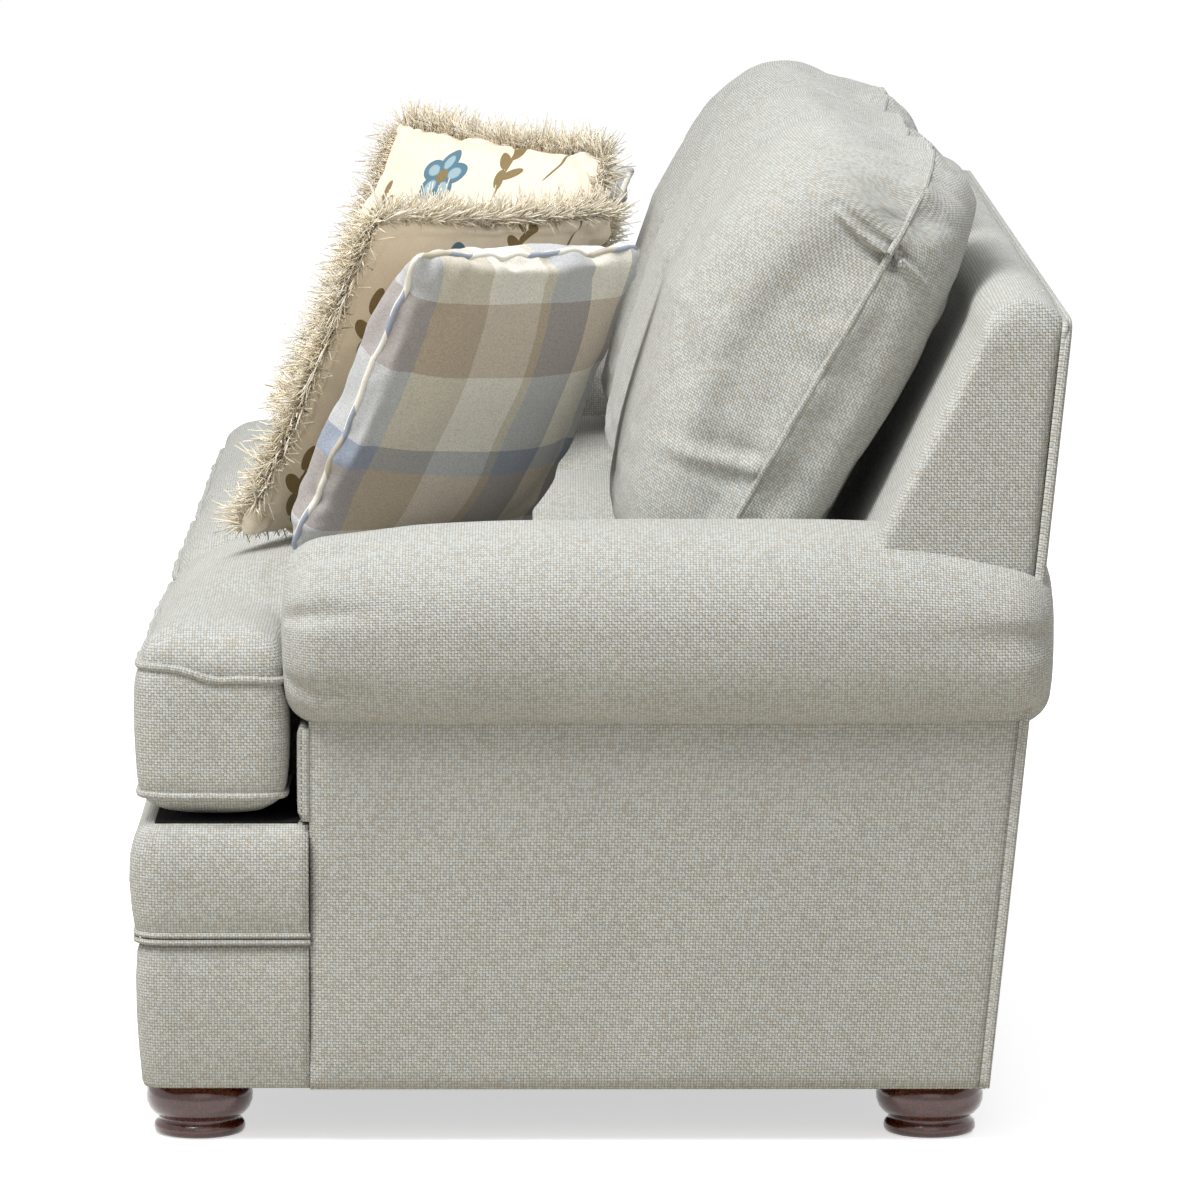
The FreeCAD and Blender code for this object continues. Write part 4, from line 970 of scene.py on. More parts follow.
def back_ring():
    """Section of the padded back as (y, z): front face, crest, and down its rear."""
    ring = line_between((0.195, 0.350), (0.216, 0.500), 8)
    ring += line_between((0.216, 0.500), (0.402, 0.872), 26)
    ring += arc_through((0.402, 0.872), (0.446, 0.914), (0.4915, 0.889), 16)
    ring += line_between((0.4915, 0.889), (0.437, 0.350), 20)
    ring += line_between((0.437, 0.350), (0.195, 0.350), 10)
    return ring


def padded_back():
    """The inside back: a slab that leans, with a rolled crest and soft ends."""
    ring = back_ring()
    heart = (0.375, 0.64)
    stations = end_stations(-1.098, 1.098, 0.024, 0.16, rounding=6, step=0.02)

    def place(along, flat, *_):
        y, z = flat
        y += 0.0015 * noise.noise(Vector((along * 4, y * 6, z * 6)))
        z += 0.003 * noise.noise(Vector((along * 3, 2.0, 5.0))) if z > 0.86 else 0
        return Vector((along, y, z))

    return section_form("inside_back", ring, stations, place, heart)


def feet_piece(name, y):
    """Two turned bun feet: a ring on the floor, a groove and a bun above it."""
    profile = [
        (0.0, 0.0), (0.044, 0.0), (0.0475, 0.0012), (0.0495, 0.004), (0.0500, 0.008), (0.0490, 0.012),
        (0.0465, 0.0145), (0.0445, 0.0165), (0.0450, 0.0190), (0.0500, 0.0225), (0.0550, 0.0285),
        (0.0578, 0.0360), (0.0582, 0.0430), (0.0565, 0.0510), (0.0530, 0.0575), (0.0490, 0.0615), (0.0, 0.0618),
    ]
    feet = []
    for sign in (1, -1):
        bpy.ops.object.select_all(action="DESELECT")
        bpy.ops.mesh.primitive_plane_add(size=1)
        foot = bpy.context.object
        form = bmesh.new()
        line = [form.verts.new((radius, 0, height)) for radius, height in profile]
        edges = [form.edges.new(pair) for pair in zip(line, line[1:])]
        bmesh.ops.spin(form, geom=line + edges, cent=(0, 0, 0), axis=(0, 0, 1), angle=2 * math.pi, steps=48,
                       use_merge=True, use_duplicate=False)
        bmesh.ops.remove_doubles(form, verts=form.verts, dist=1e-5)
        bmesh.ops.recalc_face_normals(form, faces=form.faces)
        form.to_mesh(foot.data)
        form.free()
        foot.data.transform(Matrix.Translation((sign * 1.02, y, 0)))
        feet.append(foot)
    return join(name, feet)


# Loose pieces

MIDDLE_SEAT_EDGE, OUTER_SEAT_EDGE = 0.2975, 0.3025
CROWN_START, UNDERSIDE = 0.516, 0.3508


def seat_outline(which):
    """Seam outline of a seat cushion in plan; an outer one has an ear in front of the arm."""
    if which == "middle":
        edge = MIDDLE_SEAT_EDGE
        corners = [(-edge, -0.502), (edge, -0.502), (edge, 0.188), (-edge, 0.188)]
        radii = [0.026] * 4
    else:
        edge = OUTER_SEAT_EDGE
        corners = [(edge, -0.502), (1.094, -0.502), (1.094, -0.340), (0.8975, -0.340), (0.8975, 0.188), (edge, 0.188)]
        radii = [0.026, 0.030, 0.026, 0.010, 0.026, 0.026]
    outline = rounded_outline(corners, radii)
    if which == "right":
        outline = [Vector((-spot.x, spot.y)) for spot in outline]
    return outline


def upper_height(spot):
    """The upper welt waves: it is lower behind the front corner and where it meets the arm."""
    dip = -0.010 * math.exp(-((spot.y + 0.42) / 0.03) ** 2) * (abs(spot.x) > 1.0)
    rear = -0.016 * max(0.0, min(1.0, (spot.y + 0.44) / 0.08)) * (abs(spot.x) > 0.93)
    return 0.518 + dip + rear + 0.003 * noise.noise(Vector((spot.x * 9, spot.y * 9, 0)))


def lower_height(spot):
    return 0.377 + 0.002 * noise.noise(Vector((spot.x * 7, spot.y * 7, 4)))


def seat_cushion(which):
    """Boxed seat cushion: crowned, welted twice, with its sides drawn in at the welts."""
    node = f"seat_cushion_{which}"
    piece = soft_copy(node + "_cover", node, 0.0085, 12)
    for vertex in piece.data.vertices:
        spot = vertex.co
        gap = abs(spot.x) - OUTER_SEAT_EDGE if which != "middle" else MIDDLE_SEAT_EDGE - abs(spot.x)
        if spot.z > CROWN_START:
            fall = math.exp(-max(0.0, gap) / 0.055)
            spot.z = CROWN_START + (spot.z - CROWN_START) * (1 - 0.50 * fall)
            spot.y += 0.014 * fall * max(0.0, min(1.0, (-0.40 - spot.y) / 0.06))
    outline = seat_outline(which)
    upper = [Vector((spot.x, spot.y, upper_height(spot))) for spot in outline]
    lower = [Vector((spot.x, spot.y, lower_height(spot))) for spot in outline]
    inflated(piece, upper + lower, sizes().seat_crown_pull, 2.5)
    seed = {"left": 1.0, "middle": 4.0, "right": 7.0}[which]
    gathered(piece, upper, 0.0035, 0.06, 0.035, seed, 0.004, 0.011)
    gathered(piece, lower, 0.002, 0.06, 0.025, seed + 2, 0.003, 0.009)
    rumpled(piece, 0.0035, 0.16, seed)
    for vertex in piece.data.vertices:
        vertex.co.z = max(vertex.co.z, UNDERSIDE)
    apply_modifier(piece, "SUBSURF", levels=1)
    radius = sizes().welt_radius
    welts = []
    for label, run in (("upper", upper), ("lower", lower)):
        path = settled_run(on_surface(piece, run, radius * 0.45), 3, True)
        welts.append(piping(f"seat_welt_{label}_{which}", path, radius, True))
    lay_cloth(piece)
    dressed(piece, "upholstery", f"seat_cushion_{which}", "upholstery", (node,))
    welt = join(f"seat_welts_{which}", welts)
    dressed(welt, "upholstery", f"seat_cushion_{which}", "upholstery")
    return piece


# Half width of a back cushion, its reach below and above its middle, where that stands, and its lean
BACK_HALF, BACK_LOW, BACK_HIGH = 0.297, 0.306, 0.242
BACK_PLACE = (0.250, 0.833)
BACK_LEAN = math.radians(30)


def squared(a, b, round_share, power=6):
    """Pulls the corners of a square in so that its edge is a rounded rectangle."""
    pull = 1 - round_share * (abs(a) ** power) * (abs(b) ** power)
    return a * pull, b * pull


def pillow_form(name, columns, rows, outline, front, rear, full):
    """Two grids sewn at their edge: outline(a, b) places the cloth, front and rear puff it."""
    halves = []
    for label, depth in (("front", front), ("rear", -rear)):
        def place(u, v, depth=depth):
            a, b = math.sin((u - 0.5) * math.pi), math.sin((v - 0.5) * math.pi)
            x, y = outline(a, b)
            return Vector((x, y, depth * full(a, b, depth > 0)))

        halves.append(grid_form(f"{name}_{label}", columns, rows, place, arc_map(columns, rows, place)))
    form = join(name, halves)
    closed(form)
    return form


def arc_map(columns, rows, place):
    """Cloth map of a bent grid: lengths along its rows and columns, from the middle."""
    spots = [[place(i / columns, j / rows) for j in range(rows + 1)] for i in range(columns + 1)]
    across = [[0.0] * (rows + 1) for _ in spots]
    along = [[0.0] * (rows + 1) for _ in spots]
    for i in range(columns + 1):
        for j in range(rows + 1):
            if i:
                across[i][j] = across[i - 1][j] + (spots[i][j] - spots[i - 1][j]).length
            if j:
                along[i][j] = along[i][j - 1] + (spots[i][j] - spots[i][j - 1]).length

    def cloth(u, v):
        i, j = round(u * columns), round(v * rows)
        return across[i][j] - across[columns // 2][j], along[i][j] - along[i][rows // 2]

    return cloth


def back_outline(short, outer):
    """Seam plane of a back cushion: its top corners sag, most beside an arm, where outer says."""
    high = BACK_HIGH - short
    middle, half = (high - BACK_LOW) / 2, (high + BACK_LOW) / 2

    def outline(a, b):
        sag = 0.050 if a * outer > 0 else 0.020
        drop = sag * abs(a) ** 2.5 * max(0.0, b) ** 2
        a, b = squared(a, b, 0.085 if b > 0 else 0.060, 5)
        return a * (BACK_HALF - 0.004 * (1 - b * b)), middle + b * half - drop

    return outline


def back_full(a, b, is_front):
    """How full the cushion is over its seam plane."""
    across = max(0.0, 1 - abs(a) ** (3.2 if is_front else 4.5)) ** 0.36
    power = 5.0 if b < 0 else 2.9
    along = max(0.0, 1 - abs(b) ** power) ** (1 / power)
    return across * along * (1.0 + (0.30 * min(b, 0.0) if is_front else 0.0))


def back_cushion_matrix(which):
    place = Matrix.Translation((SEATS[which] * 0.600, BACK_PLACE[0], BACK_PLACE[1]))
    return place @ Matrix.Rotation(math.pi / 2 - BACK_LEAN, 4, "X")


def back_cushion(which):
    """Plump knife-edge back cushion with a welt round its seam and gathers at its corners."""
    node = f"back_cushion_{which}"
    outline = back_outline({"left": 0.004, "middle": 0.016, "right": 0.018}[which], SEATS[which])
    piece = pillow_form(node + "_cover", 80, 104, outline, 0.198, 0.110, back_full)
    matrix = back_cushion_matrix(which)
    piece.data.transform(matrix)
    edge = []
    for a, b in square_walk(0.012):
        x, y = outline(a, b)
        edge.append(matrix @ Vector((x, y, 0)))
    edge = evened(edge, 0.006, True)
    inflated(piece, edge, sizes().back_puff, 3.0)
    seed = {"left": 11.0, "middle": 14.0, "right": 17.0}[which]
    gathered(piece, edge, 0.013, 0.050, 0.040, seed, 0.0035, 0.009)
    rumpled(piece, 0.005, 0.17, seed)
    flatten_rests(piece)
    apply_modifier(piece, "SUBSURF", levels=1)
    for sign in (1, -1):
        for depth, width, run in (
                (0.019, 0.0044, [(0.290, 0.128, 0.002), (0.290, 0.130, 0.035), (0.285, 0.140, 0.075)]),
                (0.019, 0.0044, [(0.290, 0.128, -0.002), (0.290, 0.124, -0.025), (0.285, 0.116, -0.055)]),
                (0.007, 0.0090, [(0.285, -0.150, 0.010), (0.280, -0.170, 0.070), (0.262, -0.180, 0.120)])):
            creased(piece, [matrix @ Vector((x * sign, y, z)) for x, y, z in run], depth, width)
    dressed(piece, "upholstery", f"back_cushion_{which}", "upholstery", (node,))
    path = settled_run(on_surface(piece, edge, sizes().welt_radius * 0.5), 4, True)
    welt = piping(f"back_cushion_welt_{which}", path, sizes().welt_radius, True)
    dressed(welt, "upholstery", f"back_cushion_{which}", "upholstery")
    return piece


def square_walk(step):
    """Round the edge of the square from -1 to 1."""
    count = round(2 / step)
    runs = [((-1, -1), (1, -1)), ((1, -1), (1, 1)), ((1, 1), (-1, 1)), ((-1, 1), (-1, -1))]
    walk = []
    for (ax, ay), (bx, by) in runs:
        walk += [(ax + (bx - ax) * i / count, ay + (by - ay) * i / count) for i in range(count)]
    return walk


def creased(piece, run, depth, width):
    """Folds a pleat in along a run, deepest at its start."""
    path = on_surface(piece, evened(run, 0.004, False), 0.0)
    tree = tree_of(path)
    shifts = []
    for vertex in piece.data.vertices:
        index, away = tree.find(vertex.co)[1:]
        if away > width * 4:
            shifts.append(None)
            continue
        fade = 1 - index / len(path)
        groove = math.exp(-(away / width) ** 2) - 0.45 * math.exp(-((away - width * 2) / width) ** 2)
        shifts.append(vertex.normal * (-depth * groove * fade ** 0.5))
    for vertex, shift in zip(piece.data.vertices, shifts):
        if shift:
            vertex.co += shift


def flatten_rests(piece):
    """A cushion stays off the seat and off the inside back, flat where it rests on them."""
    low = Vector((0, 0.216, 0.500))
    lean = Vector((0, 0.186, 0.372)).normalized()
    out = Vector((0, -lean.z, lean.y))
    for vertex in piece.data.vertices:
        if vertex.co.z < SEAT_TOP:
            vertex.co.z = SEAT_TOP + (vertex.co.z - SEAT_TOP) * 0.02
        depth = (vertex.co - low).dot(out)
        if depth < 0.003:
            vertex.co += out * (0.003 - depth)


def pillow_matrix(node, side):
    """Where a throw pillow stands: its centre, turned, leaned back and rolled."""
    low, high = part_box(node)
    centre = (Vector(low) + Vector(high)) / 2
    turn, lean, roll = math.radians(-42), math.radians(27), math.radians(3)
    stand = Matrix.Rotation(turn, 4, "Z") @ Matrix.Rotation(math.pi / 2 - lean, 4, "X")
    stand = stand @ Matrix.Rotation(roll, 4, "Z")
    if side == "right":
        return MIRROR @ Matrix.Translation((-centre.x, centre.y, centre.z)) @ stand
    return Matrix.Translation(centre) @ stand


def throw_outline(half):
    """Seam plane of a throw pillow: drawn in between its corners."""
    draw = 0.012

    def outline(a, b):
        a, b = squared(a, b, 0.035)
        return a * (half - draw * (1 - b * b)), b * (half - draw * (1 - a * a))

    return outline


def throw_full(a, b, _):
    """How full a throw pillow is, alike on both faces."""
    fill = max(0.0, (1 - abs(a) ** 2.5) * (1 - abs(b) ** 2.5))
    return fill ** 0.41


THROW_PILLOWS = {
    "plaid": {"node": "pillow_plaid", "material": "plaid", "half": 0.194, "front": 0.080, "rear": 0.056,
              "shift": 0.026, "seeds": {"left": 21.0, "right": 25.0}},
    "fringed": {"node": "pillow_floral", "material": "floral", "half": 0.206, "front": 0.044, "rear": 0.034,
                "shift": -0.002, "seeds": {"left": 31.0, "right": 35.0}},
}


def throw_pillow(kind, side):
    """A stuffed square pillow: its corners pinch, its edges draw in and its faces crease near them."""
    made = THROW_PILLOWS[kind]
    node, material, seed = f"{made['node']}_{side}", made["material"], made["seeds"][side]
    outline = throw_outline(made["half"])
    piece = pillow_form(f"{kind}_pillow_cover_{side}", 60, 60, outline, made["front"], made["rear"], throw_full)
    matrix = pillow_matrix(node, side) @ Matrix.Translation((0, 0, -made["shift"]))
    edge = evened([Vector((*outline(a, b), 0)) for a, b in square_walk(0.02)], 0.005, True)
    inflated(piece, edge, sizes().pillow_puff, 3.0)
    gathered(piece, edge, 0.012, 0.030, 0.028, seed, 0.002, 0.006)
    rumpled(piece, 0.006, 0.09, seed)
    apply_modifier(piece, "SUBSURF", levels=1)
    path = settled_run(on_surface(piece, edge, 0.0), 3, True)
    piece.data.transform(matrix)
    path = [matrix @ spot for spot in path]
    if matrix.determinant() < 0:
        piece.data.flip_normals()
    for vertex in piece.data.vertices:
        if vertex.co.z < SEAT_TOP:
            vertex.co.z = SEAT_TOP + (SEAT_TOP - vertex.co.z) * 0.02
    dressed(piece, material, f"{kind}_pillow_{side}", material, (node,))
    return path, matrix, outline


def plaid_pillow(side):
    """A plaid pillow, piped round its seam."""
    path = throw_pillow("plaid", side)[0]
    radius = 0.0038
    path = [Vector((spot.x, spot.y, max(spot.z, 0.598))) for spot in path]
    welt = piping(f"plaid_pillow_welt_{side}", path, radius, True)
    dressed(welt, "bias_welt", f"plaid_pillow_{side}", "plaid")


def fringed_pillow(side):
    """An embroidered pillow with a brush fringe round its seam."""
    matrix, outline = throw_pillow("fringed", side)[1:]
    fringe = brush_fringe(f"brush_fringe_{side}", matrix, outline, {"left": 41, "right": 43}[side])
    dressed(fringe, "fringe", f"fringed_pillow_{side}", "fringe", (f"fringe_{side}",))


def brush_fringe(name, matrix, outline, seed):
    """Cut yarns that stand out of the seam all round, crushed forwards where the pillow rests."""
    rolls = random.Random(seed)
    thickness = (0.9, 1.2, 1.15, 0.65)
    levels = len(thickness) - 1
    reach = sizes().fringe_length
    count = sizes().fringe_yarns
    edge = evened([Vector((*outline(a, b), 0)) for a, b in square_walk(0.02)], 0.004, True)
    vertices, faces, marks = [], [], []
    for yarn in range(count):
        place = (yarn + rolls.random()) / count * len(edge)
        index = int(place) % len(edge)
        here = edge[index].lerp(edge[(index + 1) % len(edge)], place % 1)
        along = (edge[(index + 1) % len(edge)] - edge[index - 1]).normalized()
        out = Vector((along.y, -along.x, 0))
        if out.dot(here) < 0:
            out = -out
        resting = here.y < -0.17
        tilt = rolls.uniform(-0.70, 0.70)
        way = (out + Vector((0, 0, 1)) * tilt + along * rolls.uniform(-0.45, 0.45)).normalized()
        if resting:
            forwards = Vector((0, 0, 1)) * rolls.uniform(0.5, 1.2)
            way = (out * 0.15 + forwards + along * rolls.uniform(-0.5, 0.5)).normalized()
        span = reach * rolls.uniform(0.72, 1.08)
        bend = Vector((rolls.uniform(-1, 1), rolls.uniform(-1, 1), rolls.uniform(-1, 1))) * span * 0.62
        radius = rolls.uniform(0.0007, 0.0012)
        shade = rolls.random()
        sideways = way.orthogonal().normalized()
        second = way.cross(sideways)
        base = len(vertices)
        start = here - out * 0.003 + Vector((0, 0, rolls.uniform(-0.003, 0.003)))
        for level in range(levels + 1):
            share = level / levels
            middle = start + way * span * share * (1 - 0.25 * share) + bend * share * share
            thin = radius * thickness[level]
            for corner in range(3):
                angle = corner * 2 * math.pi / 3 + level * 0.5
                spot = middle + (sideways * math.cos(angle) + second * math.sin(angle)) * thin
                spot = matrix @ spot
                spot.z = max(spot.z, SEAT_TOP + 0.0005)
                vertices.append(spot)
                marks.append((shade, share))
        for level in range(levels):
            for corner in range(3):
                a, b = base + level * 3 + corner, base + level * 3 + (corner + 1) % 3
                faces.append((a, b, b + 3, a + 3))
        top = base + levels * 3
        faces.append((top, top + 1, top + 2))
        faces.append((base + 2, base + 1, base))
    mesh = bpy.data.meshes.new(name)
    mesh.from_pydata(vertices, [], faces)
    layer = mesh.uv_layers.new(name="Cloth")
    for loop in mesh.loops:
        layer.data[loop.index].uv = marks[loop.vertex_index]
    fringe = bpy.data.objects.new(name, mesh)
    bpy.context.scene.collection.objects.link(fringe)
    form = bmesh.new()
    form.from_mesh(mesh)
    bmesh.ops.recalc_face_normals(form, faces=form.faces)
    form.to_mesh(mesh)
    form.free()
    return fringe


# Operators: one for each piece or group of like pieces

class SOFA_OT_arms(bpy.types.Operator):
    """Pads both arm rolls"""
    bl_idname = "sofa.arms"
    bl_label = "Arm rolls"

    def execute(self, context):
        for side in SIDES:
            roll = arm_roll(side)
            apply_modifier(roll, "SUBSURF", levels=1)
            lay_cloth(roll, end_rule)
            dressed(roll, "upholstery", "frame", "upholstery", (f"arm_pad_{side}",))
        return {"FINISHED"}


class SOFA_OT_arm_panels(bpy.types.Operator):
    """Covers the outside of both arms, their inner faces and the strips at their fronts"""
    bl_idname = "sofa.arm_panels"
    bl_label = "Arm panels"

    def execute(self, context):
        for side, sign in SIDES.items():
            x = BOX_SIDE * sign
            outer = plate(f"outside_arm_{side}_cover",
                          [(x, PANEL_FRONT, PANEL_LOW), (x, 0.4085, PANEL_LOW),
                           (x, 0.4490, ARM_PANEL_TOP), (x, PANEL_FRONT, ARM_PANEL_TOP)],
                          (sign, 0, 0), 0.012, 72, 40, 0.0025, 1.0, 0.004)
            dressed(outer, "upholstery", "frame", "upholstery", (f"outside_arm_{side}",))
            x = ARM_INNER * sign
            inner = plate(f"inside_arm_{side}",
                          [(x, -0.300, DECK_HEIGHT), (x, 0.195, DECK_HEIGHT),
                           (x, 0.210, ARM_LOW), (x, -0.300, ARM_LOW)],
                          (-sign, 0, 0), 0.020, 30, 8)
            dressed(inner, "upholstery", "frame", "upholstery")
            near, far, y, top = 0.901 * sign, 1.090 * sign, -0.328, 0.455
            strip = plate(f"arm_front_{side}",
                          [(near, y, DECK_HEIGHT), (far, y, DECK_HEIGHT), (far, y, top), (near, y, top)],
                          (0, -1, 0), 0.014, 20, 12, 0.002, 3.0, 0.004)
            dressed(strip, "upholstery", "frame", "upholstery", (f"arm_front_panel_{side}",))
        return {"FINISHED"}


class SOFA_OT_front(bpy.types.Operator):
    """Covers the front box with its two padded bands"""
    bl_idname = "sofa.front"
    bl_label = "Front bands"

    def execute(self, context):
        lower = [(0.0, -0.010), (0.0, -0.0075), (0.03, -0.0055), (0.25, -0.002), (0.5, 0.0005), (0.75, 0.001),
                 (0.93, -0.001), (1.0, -0.005), (1.0, -0.012)]
        upper = [(0.0, -0.012), (0.0, -0.004), (0.06, 0.001), (0.25, 0.005), (0.5, 0.0075), (0.72, 0.0065),
                 (0.86, 0.002), (0.94, -0.004), (0.985, -0.011), (1.0, -0.019), (1.0, -0.0275)]
        low_band = band("lower_band", 0.061, 0.219, lower, 0.005)
        dressed(low_band, "upholstery", "frame", "upholstery", ("lower_border",))
        high_band = band("upper_band", 0.223, 0.348, upper, 0.005)
        dressed(high_band, "upholstery", "frame", "upholstery", ("front_border",))
        x, front, rear, z = 1.076, -0.482, -0.300, 0.3465
        lip = plate("seat_lip", [(-x, front, z), (x, front, z), (x, rear, z), (-x, rear, z)],
                    (0, 0, 1), 0.004, 90, 8)
        dressed(lip, "upholstery", "frame", "upholstery")
        return {"FINISHED"}


class SOFA_OT_back(bpy.types.Operator):
    """Pads the inside back and covers the outside back"""
    bl_idname = "sofa.back"
    bl_label = "Inside and outside back"

    def execute(self, context):
        inner = padded_back()
        apply_modifier(inner, "SUBSURF", levels=1)
        lay_cloth(inner)
        dressed(inner, "upholstery", "frame", "upholstery", ("inside_back_pad",))
        low, high = (BACK_FOOT_Y, PANEL_LOW), (BACK_TOP_Y, BACK_TOP_Z)
        outer = plate("outside_back_cover",
                      [(-BOX_SIDE, *low), (BOX_SIDE, *low), (BOX_SIDE, *high), (-BOX_SIDE, *high)],
                      Vector((0, 0.827, -0.084)).normalized(), 0.006, 120, 50, 0.002, 5.0, 0.003)
        dressed(outer, "upholstery", "frame", "upholstery", ("outside_back",))
        return {"FINISHED"}


class SOFA_OT_welts(bpy.types.Operator):
    """Runs the piping of the front box, the arm fronts and the back"""
    bl_idname = "sofa.welts"
    bl_label = "Frame welts"

    def execute(self, context):
        radius = sizes().welt_radius
        rear, border_radius = -0.314, 0.0032
        corner = rounded_corner(Vector((BOX_SIDE, BOX_FRONT)), BOX_CORNER)
        rows = []
        for label, height in (("low", 0.221), ("high", 0.2285)):
            run = [Vector((BOX_SIDE, rear, height))] + [Vector((c.x, c.y, height)) for c in corner]
            run += [Vector((-p.x, p.y, p.z)) for p in reversed(run)]
            rows.append(piping(f"border_welt_{label}", evened(run, 0.01, False), border_radius, False))
        dressed(join("border_welts", rows), "upholstery", "frame", "upholstery", ("border_welt",))
        rods = []
        for sign in (1, -1):
            x = sign * 1.0955
            path = evened([Vector((x, -0.3185, 0.352)), Vector((x, -0.3185, 0.452))], 0.01, False)
            rods.append(piping(f"arm_welt_{sign}", path, radius, False))
        dressed(join("arm_front_welts", rods), "upholstery", "frame", "upholstery", ("arm_welts",))
        low, high = Vector((BOX_SIDE, 0.4125, 0.062)), Vector((BOX_SIDE, 0.4965, 0.889))
        turn = high + (low - high).normalized() * 0.018
        half = [low, turn, high - Vector((0.006, 0, 0.004)), high - Vector((0.020, 0, 0))]
        path = evened(half + [Vector((-p.x, p.y, p.z)) for p in reversed(half)], 0.010, False)
        path = settled_run(path, 2, False)
        welt = piping("back_welt_run", path, radius * 0.85, False)
        dressed(welt, "upholstery", "frame", "upholstery", ("back_welt",))
        return {"FINISHED"}


class SOFA_OT_feet(bpy.types.Operator):
    """Turns the bun feet"""
    bl_idname = "sofa.feet"
    bl_label = "Bun feet"

    def execute(self, context):
        for name, y in (("front", -0.438), ("rear", 0.355)):
            dressed(feet_piece(f"{name}_bun_feet", y), "dark_wood", "frame", "dark_wood", (f"{name}_feet",))
        return {"FINISHED"}


class SOFA_OT_seat_cushions(bpy.types.Operator):
    """Stuffs the three seat cushions"""
    bl_idname = "sofa.seat_cushions"
    bl_label = "Seat cushions"

    def execute(self, context):
        for which in SEATS:
            seat_cushion(which)
        return {"FINISHED"}


class SOFA_OT_back_cushions(bpy.types.Operator):
    """Stuffs the three back cushions"""
    bl_idname = "sofa.back_cushions"
    bl_label = "Back cushions"

    def execute(self, context):
        for which in SEATS:
            back_cushion(which)
        return {"FINISHED"}


class SOFA_OT_plaid_pillows(bpy.types.Operator):
    """Stuffs the two plaid pillows and pipes their seams"""
    bl_idname = "sofa.plaid_pillows"
    bl_label = "Plaid pillows"

    def execute(self, context):
        for side in SIDES:
            plaid_pillow(side)
        return {"FINISHED"}


class SOFA_OT_fringed_pillows(bpy.types.Operator):
    """Stuffs the two embroidered pillows and fringes their seams"""
    bl_idname = "sofa.fringed_pillows"
    bl_label = "Fringed pillows"

    def execute(self, context):
        for side in SIDES:
            fringed_pillow(side)
        return {"FINISHED"}


class SOFA_OT_hidden(bpy.types.Operator):
    """Gives the frame, springs and pads inside their materials"""
    bl_idname = "sofa.hidden"
    bl_label = "Hidden pieces"

    def execute(self, context):
        slots = {entry["node"]: entry["material_slot"] for entry in frame["record"]["subparts"]}
        for name, node in nodes.items():
            node.data.materials.clear()
            node.data.materials.append(finish_of("inner_cloth" if slots[name] == "upholstery" else
                                                 slots[name] if slots[name] in MATERIAL_MAKERS else "padding"))
        return {"FINISHED"}


class SOFA_OT_stage(bpy.types.Operator):
    """Sets the floor, the soft lamps and the camera"""
    bl_idname = "sofa.stage"
    bl_label = "Studio"

    def execute(self, context):
        studio_floor()
        studio_world()
        for name, place, aim, wide, tall, power in (
            ("key", (2.6, -2.0, 5.4), (0, 0, 0.5), 3.0, 3.0, 350),
            ("fill", (6.5, 0.5, 3.0), (0, 0, 0.5), 4.0, 3.0, 27),
            ("rim", (-3.5, 2.5, 4.2), (0, 0, 0.6), 3.0, 3.0, 60),
        ):
            lamp(name, place, aim, wide, tall, power)
        camera()
        return {"FINISHED"}


def studio_floor():
    bpy.ops.object.select_all(action="DESELECT")
    bpy.ops.mesh.primitive_plane_add(size=60, location=(0, 0, -0.0005))
    floor = bpy.context.object
    floor.name = "studio_floor"
    recipe = Recipe("pale_floor")
    path = recipe.node("ShaderNodeLightPath")
    outputs = path.socket.node.outputs
    seen = Shade(recipe, outputs["Is Camera Ray"]).most(Shade(recipe, outputs["Is Glossy Ray"]))
    seen = seen.most(Shade(recipe, outputs["Is Transmission Ray"]))
    grit = recipe.noise(recipe.object_place(), 60.0, 2.0, 0.5)
    tone = recipe.ramp(grit, [(0.3, (0.90, 0.90, 0.90)), (0.7, (0.92, 0.92, 0.92))])
    warm = recipe.ramp(grit, [(0.3, (0.56, 0.52, 0.44)), (0.7, (0.58, 0.54, 0.46))])
    surface = recipe.node("ShaderNodeBsdfPrincipled", None, {"Base Color": tone, "Roughness": 0.9,
                                                            "Specular IOR Level": 0.0})
    bounce = recipe.node("ShaderNodeBsdfDiffuse", None, {"Color": warm})
    glow = recipe.node("ShaderNodeEmission", None, {"Color": (1, 1, 1), "Strength": 0.60})
    both = recipe.node("ShaderNodeAddShader", None, {0: surface, 1: glow})
    mixed = recipe.node("ShaderNodeMixShader", None, {0: seen, 1: bounce, 2: both})
    recipe.tree.links.new(mixed.socket, recipe.output.inputs["Surface"])
    floor.data.materials.append(recipe.material)


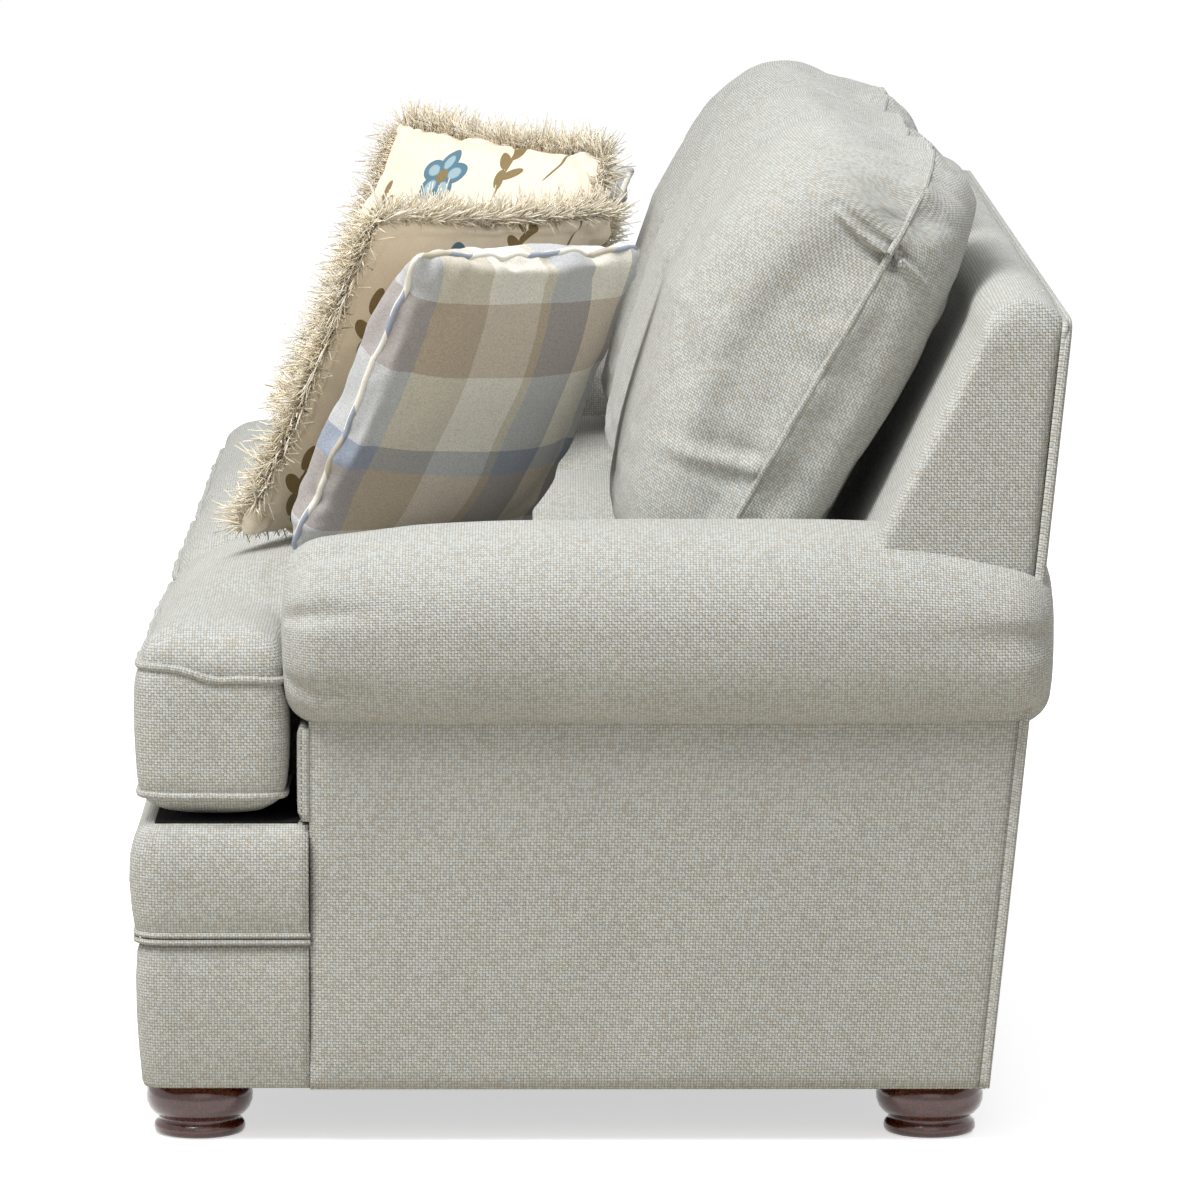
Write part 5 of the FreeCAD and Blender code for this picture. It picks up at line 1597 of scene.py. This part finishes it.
def studio_world():
    world = bpy.data.worlds.new("studio")
    world.use_nodes = True
    tree = world.node_tree
    tree.nodes.clear()
    path = tree.nodes.new("ShaderNodeLightPath")
    light = tree.nodes.new("ShaderNodeBackground")
    light.inputs["Color"].default_value = (0.95, 0.97, 1.0, 1)
    light.inputs["Strength"].default_value = 0.46
    white = tree.nodes.new("ShaderNodeBackground")
    white.inputs["Color"].default_value = (1, 1, 1, 1)
    white.inputs["Strength"].default_value = 1.0
    first = tree.nodes.new("ShaderNodeMath")
    first.operation = "MAXIMUM"
    second = tree.nodes.new("ShaderNodeMath")
    second.operation = "MAXIMUM"
    mix = tree.nodes.new("ShaderNodeMixShader")
    output = tree.nodes.new("ShaderNodeOutputWorld")
    tree.links.new(path.outputs["Is Camera Ray"], first.inputs[0])
    tree.links.new(path.outputs["Is Glossy Ray"], first.inputs[1])
    tree.links.new(first.outputs[0], second.inputs[0])
    tree.links.new(path.outputs["Is Transmission Ray"], second.inputs[1])
    tree.links.new(second.outputs[0], mix.inputs[0])
    tree.links.new(light.outputs[0], mix.inputs[1])
    tree.links.new(white.outputs[0], mix.inputs[2])
    tree.links.new(mix.outputs[0], output.inputs["Surface"])
    bpy.context.scene.world = world
    bpy.context.scene.view_settings.view_transform = "Standard"


def lamp(name, place, aim, wide, tall, power):
    data = bpy.data.lights.new(name, "AREA")
    data.shape = "RECTANGLE"
    data.size, data.size_y, data.energy = wide, tall, power
    light = bpy.data.objects.new(name, data)
    light.location = place
    light.rotation_euler = (Vector(aim) - Vector(place)).to_track_quat("-Z", "Y").to_euler()
    bpy.context.scene.collection.objects.link(light)


def camera():
    """Long lens from the sitter's left, a little above the seat."""
    data = bpy.data.cameras.new("photo_camera")
    data.lens = 240.72
    data.sensor_width = 36
    eye = bpy.data.objects.new("photo_camera", data)
    pitch, yaw = math.radians(7.2445), math.radians(0.2408)
    ahead = Vector((-math.cos(pitch) * math.cos(yaw), math.cos(pitch) * math.sin(yaw), -math.sin(pitch)))
    eye.location = (9.6, -0.039, 1.672)
    eye.rotation_mode = "QUATERNION"
    eye.rotation_quaternion = ahead.to_track_quat("-Z", "Y")
    data.clip_end = 200
    bpy.context.scene.collection.objects.link(eye)
    bpy.context.scene.camera = eye


class SOFA_PT_pieces(bpy.types.Panel):
    """Lists the sofa's pieces"""
    bl_idname = "SOFA_PT_pieces"
    bl_label = "Rolled arm sofa"
    bl_space_type = "VIEW_3D"
    bl_region_type = "UI"
    bl_category = "Sofa"

    def draw(self, context):
        for operator in PIECES:
            self.layout.operator(operator.bl_idname)
        for group in (context.scene.sofa_sizes, context.scene.sofa_colours):
            column = self.layout.column()
            for name in group.__annotations__:
                column.prop(group, name)


PIECES = (
    SOFA_OT_hidden, SOFA_OT_arms, SOFA_OT_arm_panels, SOFA_OT_front, SOFA_OT_back, SOFA_OT_welts, SOFA_OT_feet,
    SOFA_OT_seat_cushions, SOFA_OT_back_cushions, SOFA_OT_plaid_pillows, SOFA_OT_fringed_pillows, SOFA_OT_stage,
)
CLASSES = (SofaSizes, SofaColours, *PIECES, SOFA_PT_pieces)


def register():
    for item in CLASSES:
        bpy.utils.register_class(item)
    bpy.types.Scene.sofa_sizes = PointerProperty(type=SofaSizes)
    bpy.types.Scene.sofa_colours = PointerProperty(type=SofaColours)


def unregister():
    del bpy.types.Scene.sofa_colours
    del bpy.types.Scene.sofa_sizes
    for item in reversed(CLASSES):
        bpy.utils.unregister_class(item)


def main():
    register()
    for operator in PIECES:
        group, name = operator.bl_idname.split(".")
        getattr(getattr(bpy.ops, group), name)()


if __name__ == "__main__":
    main()
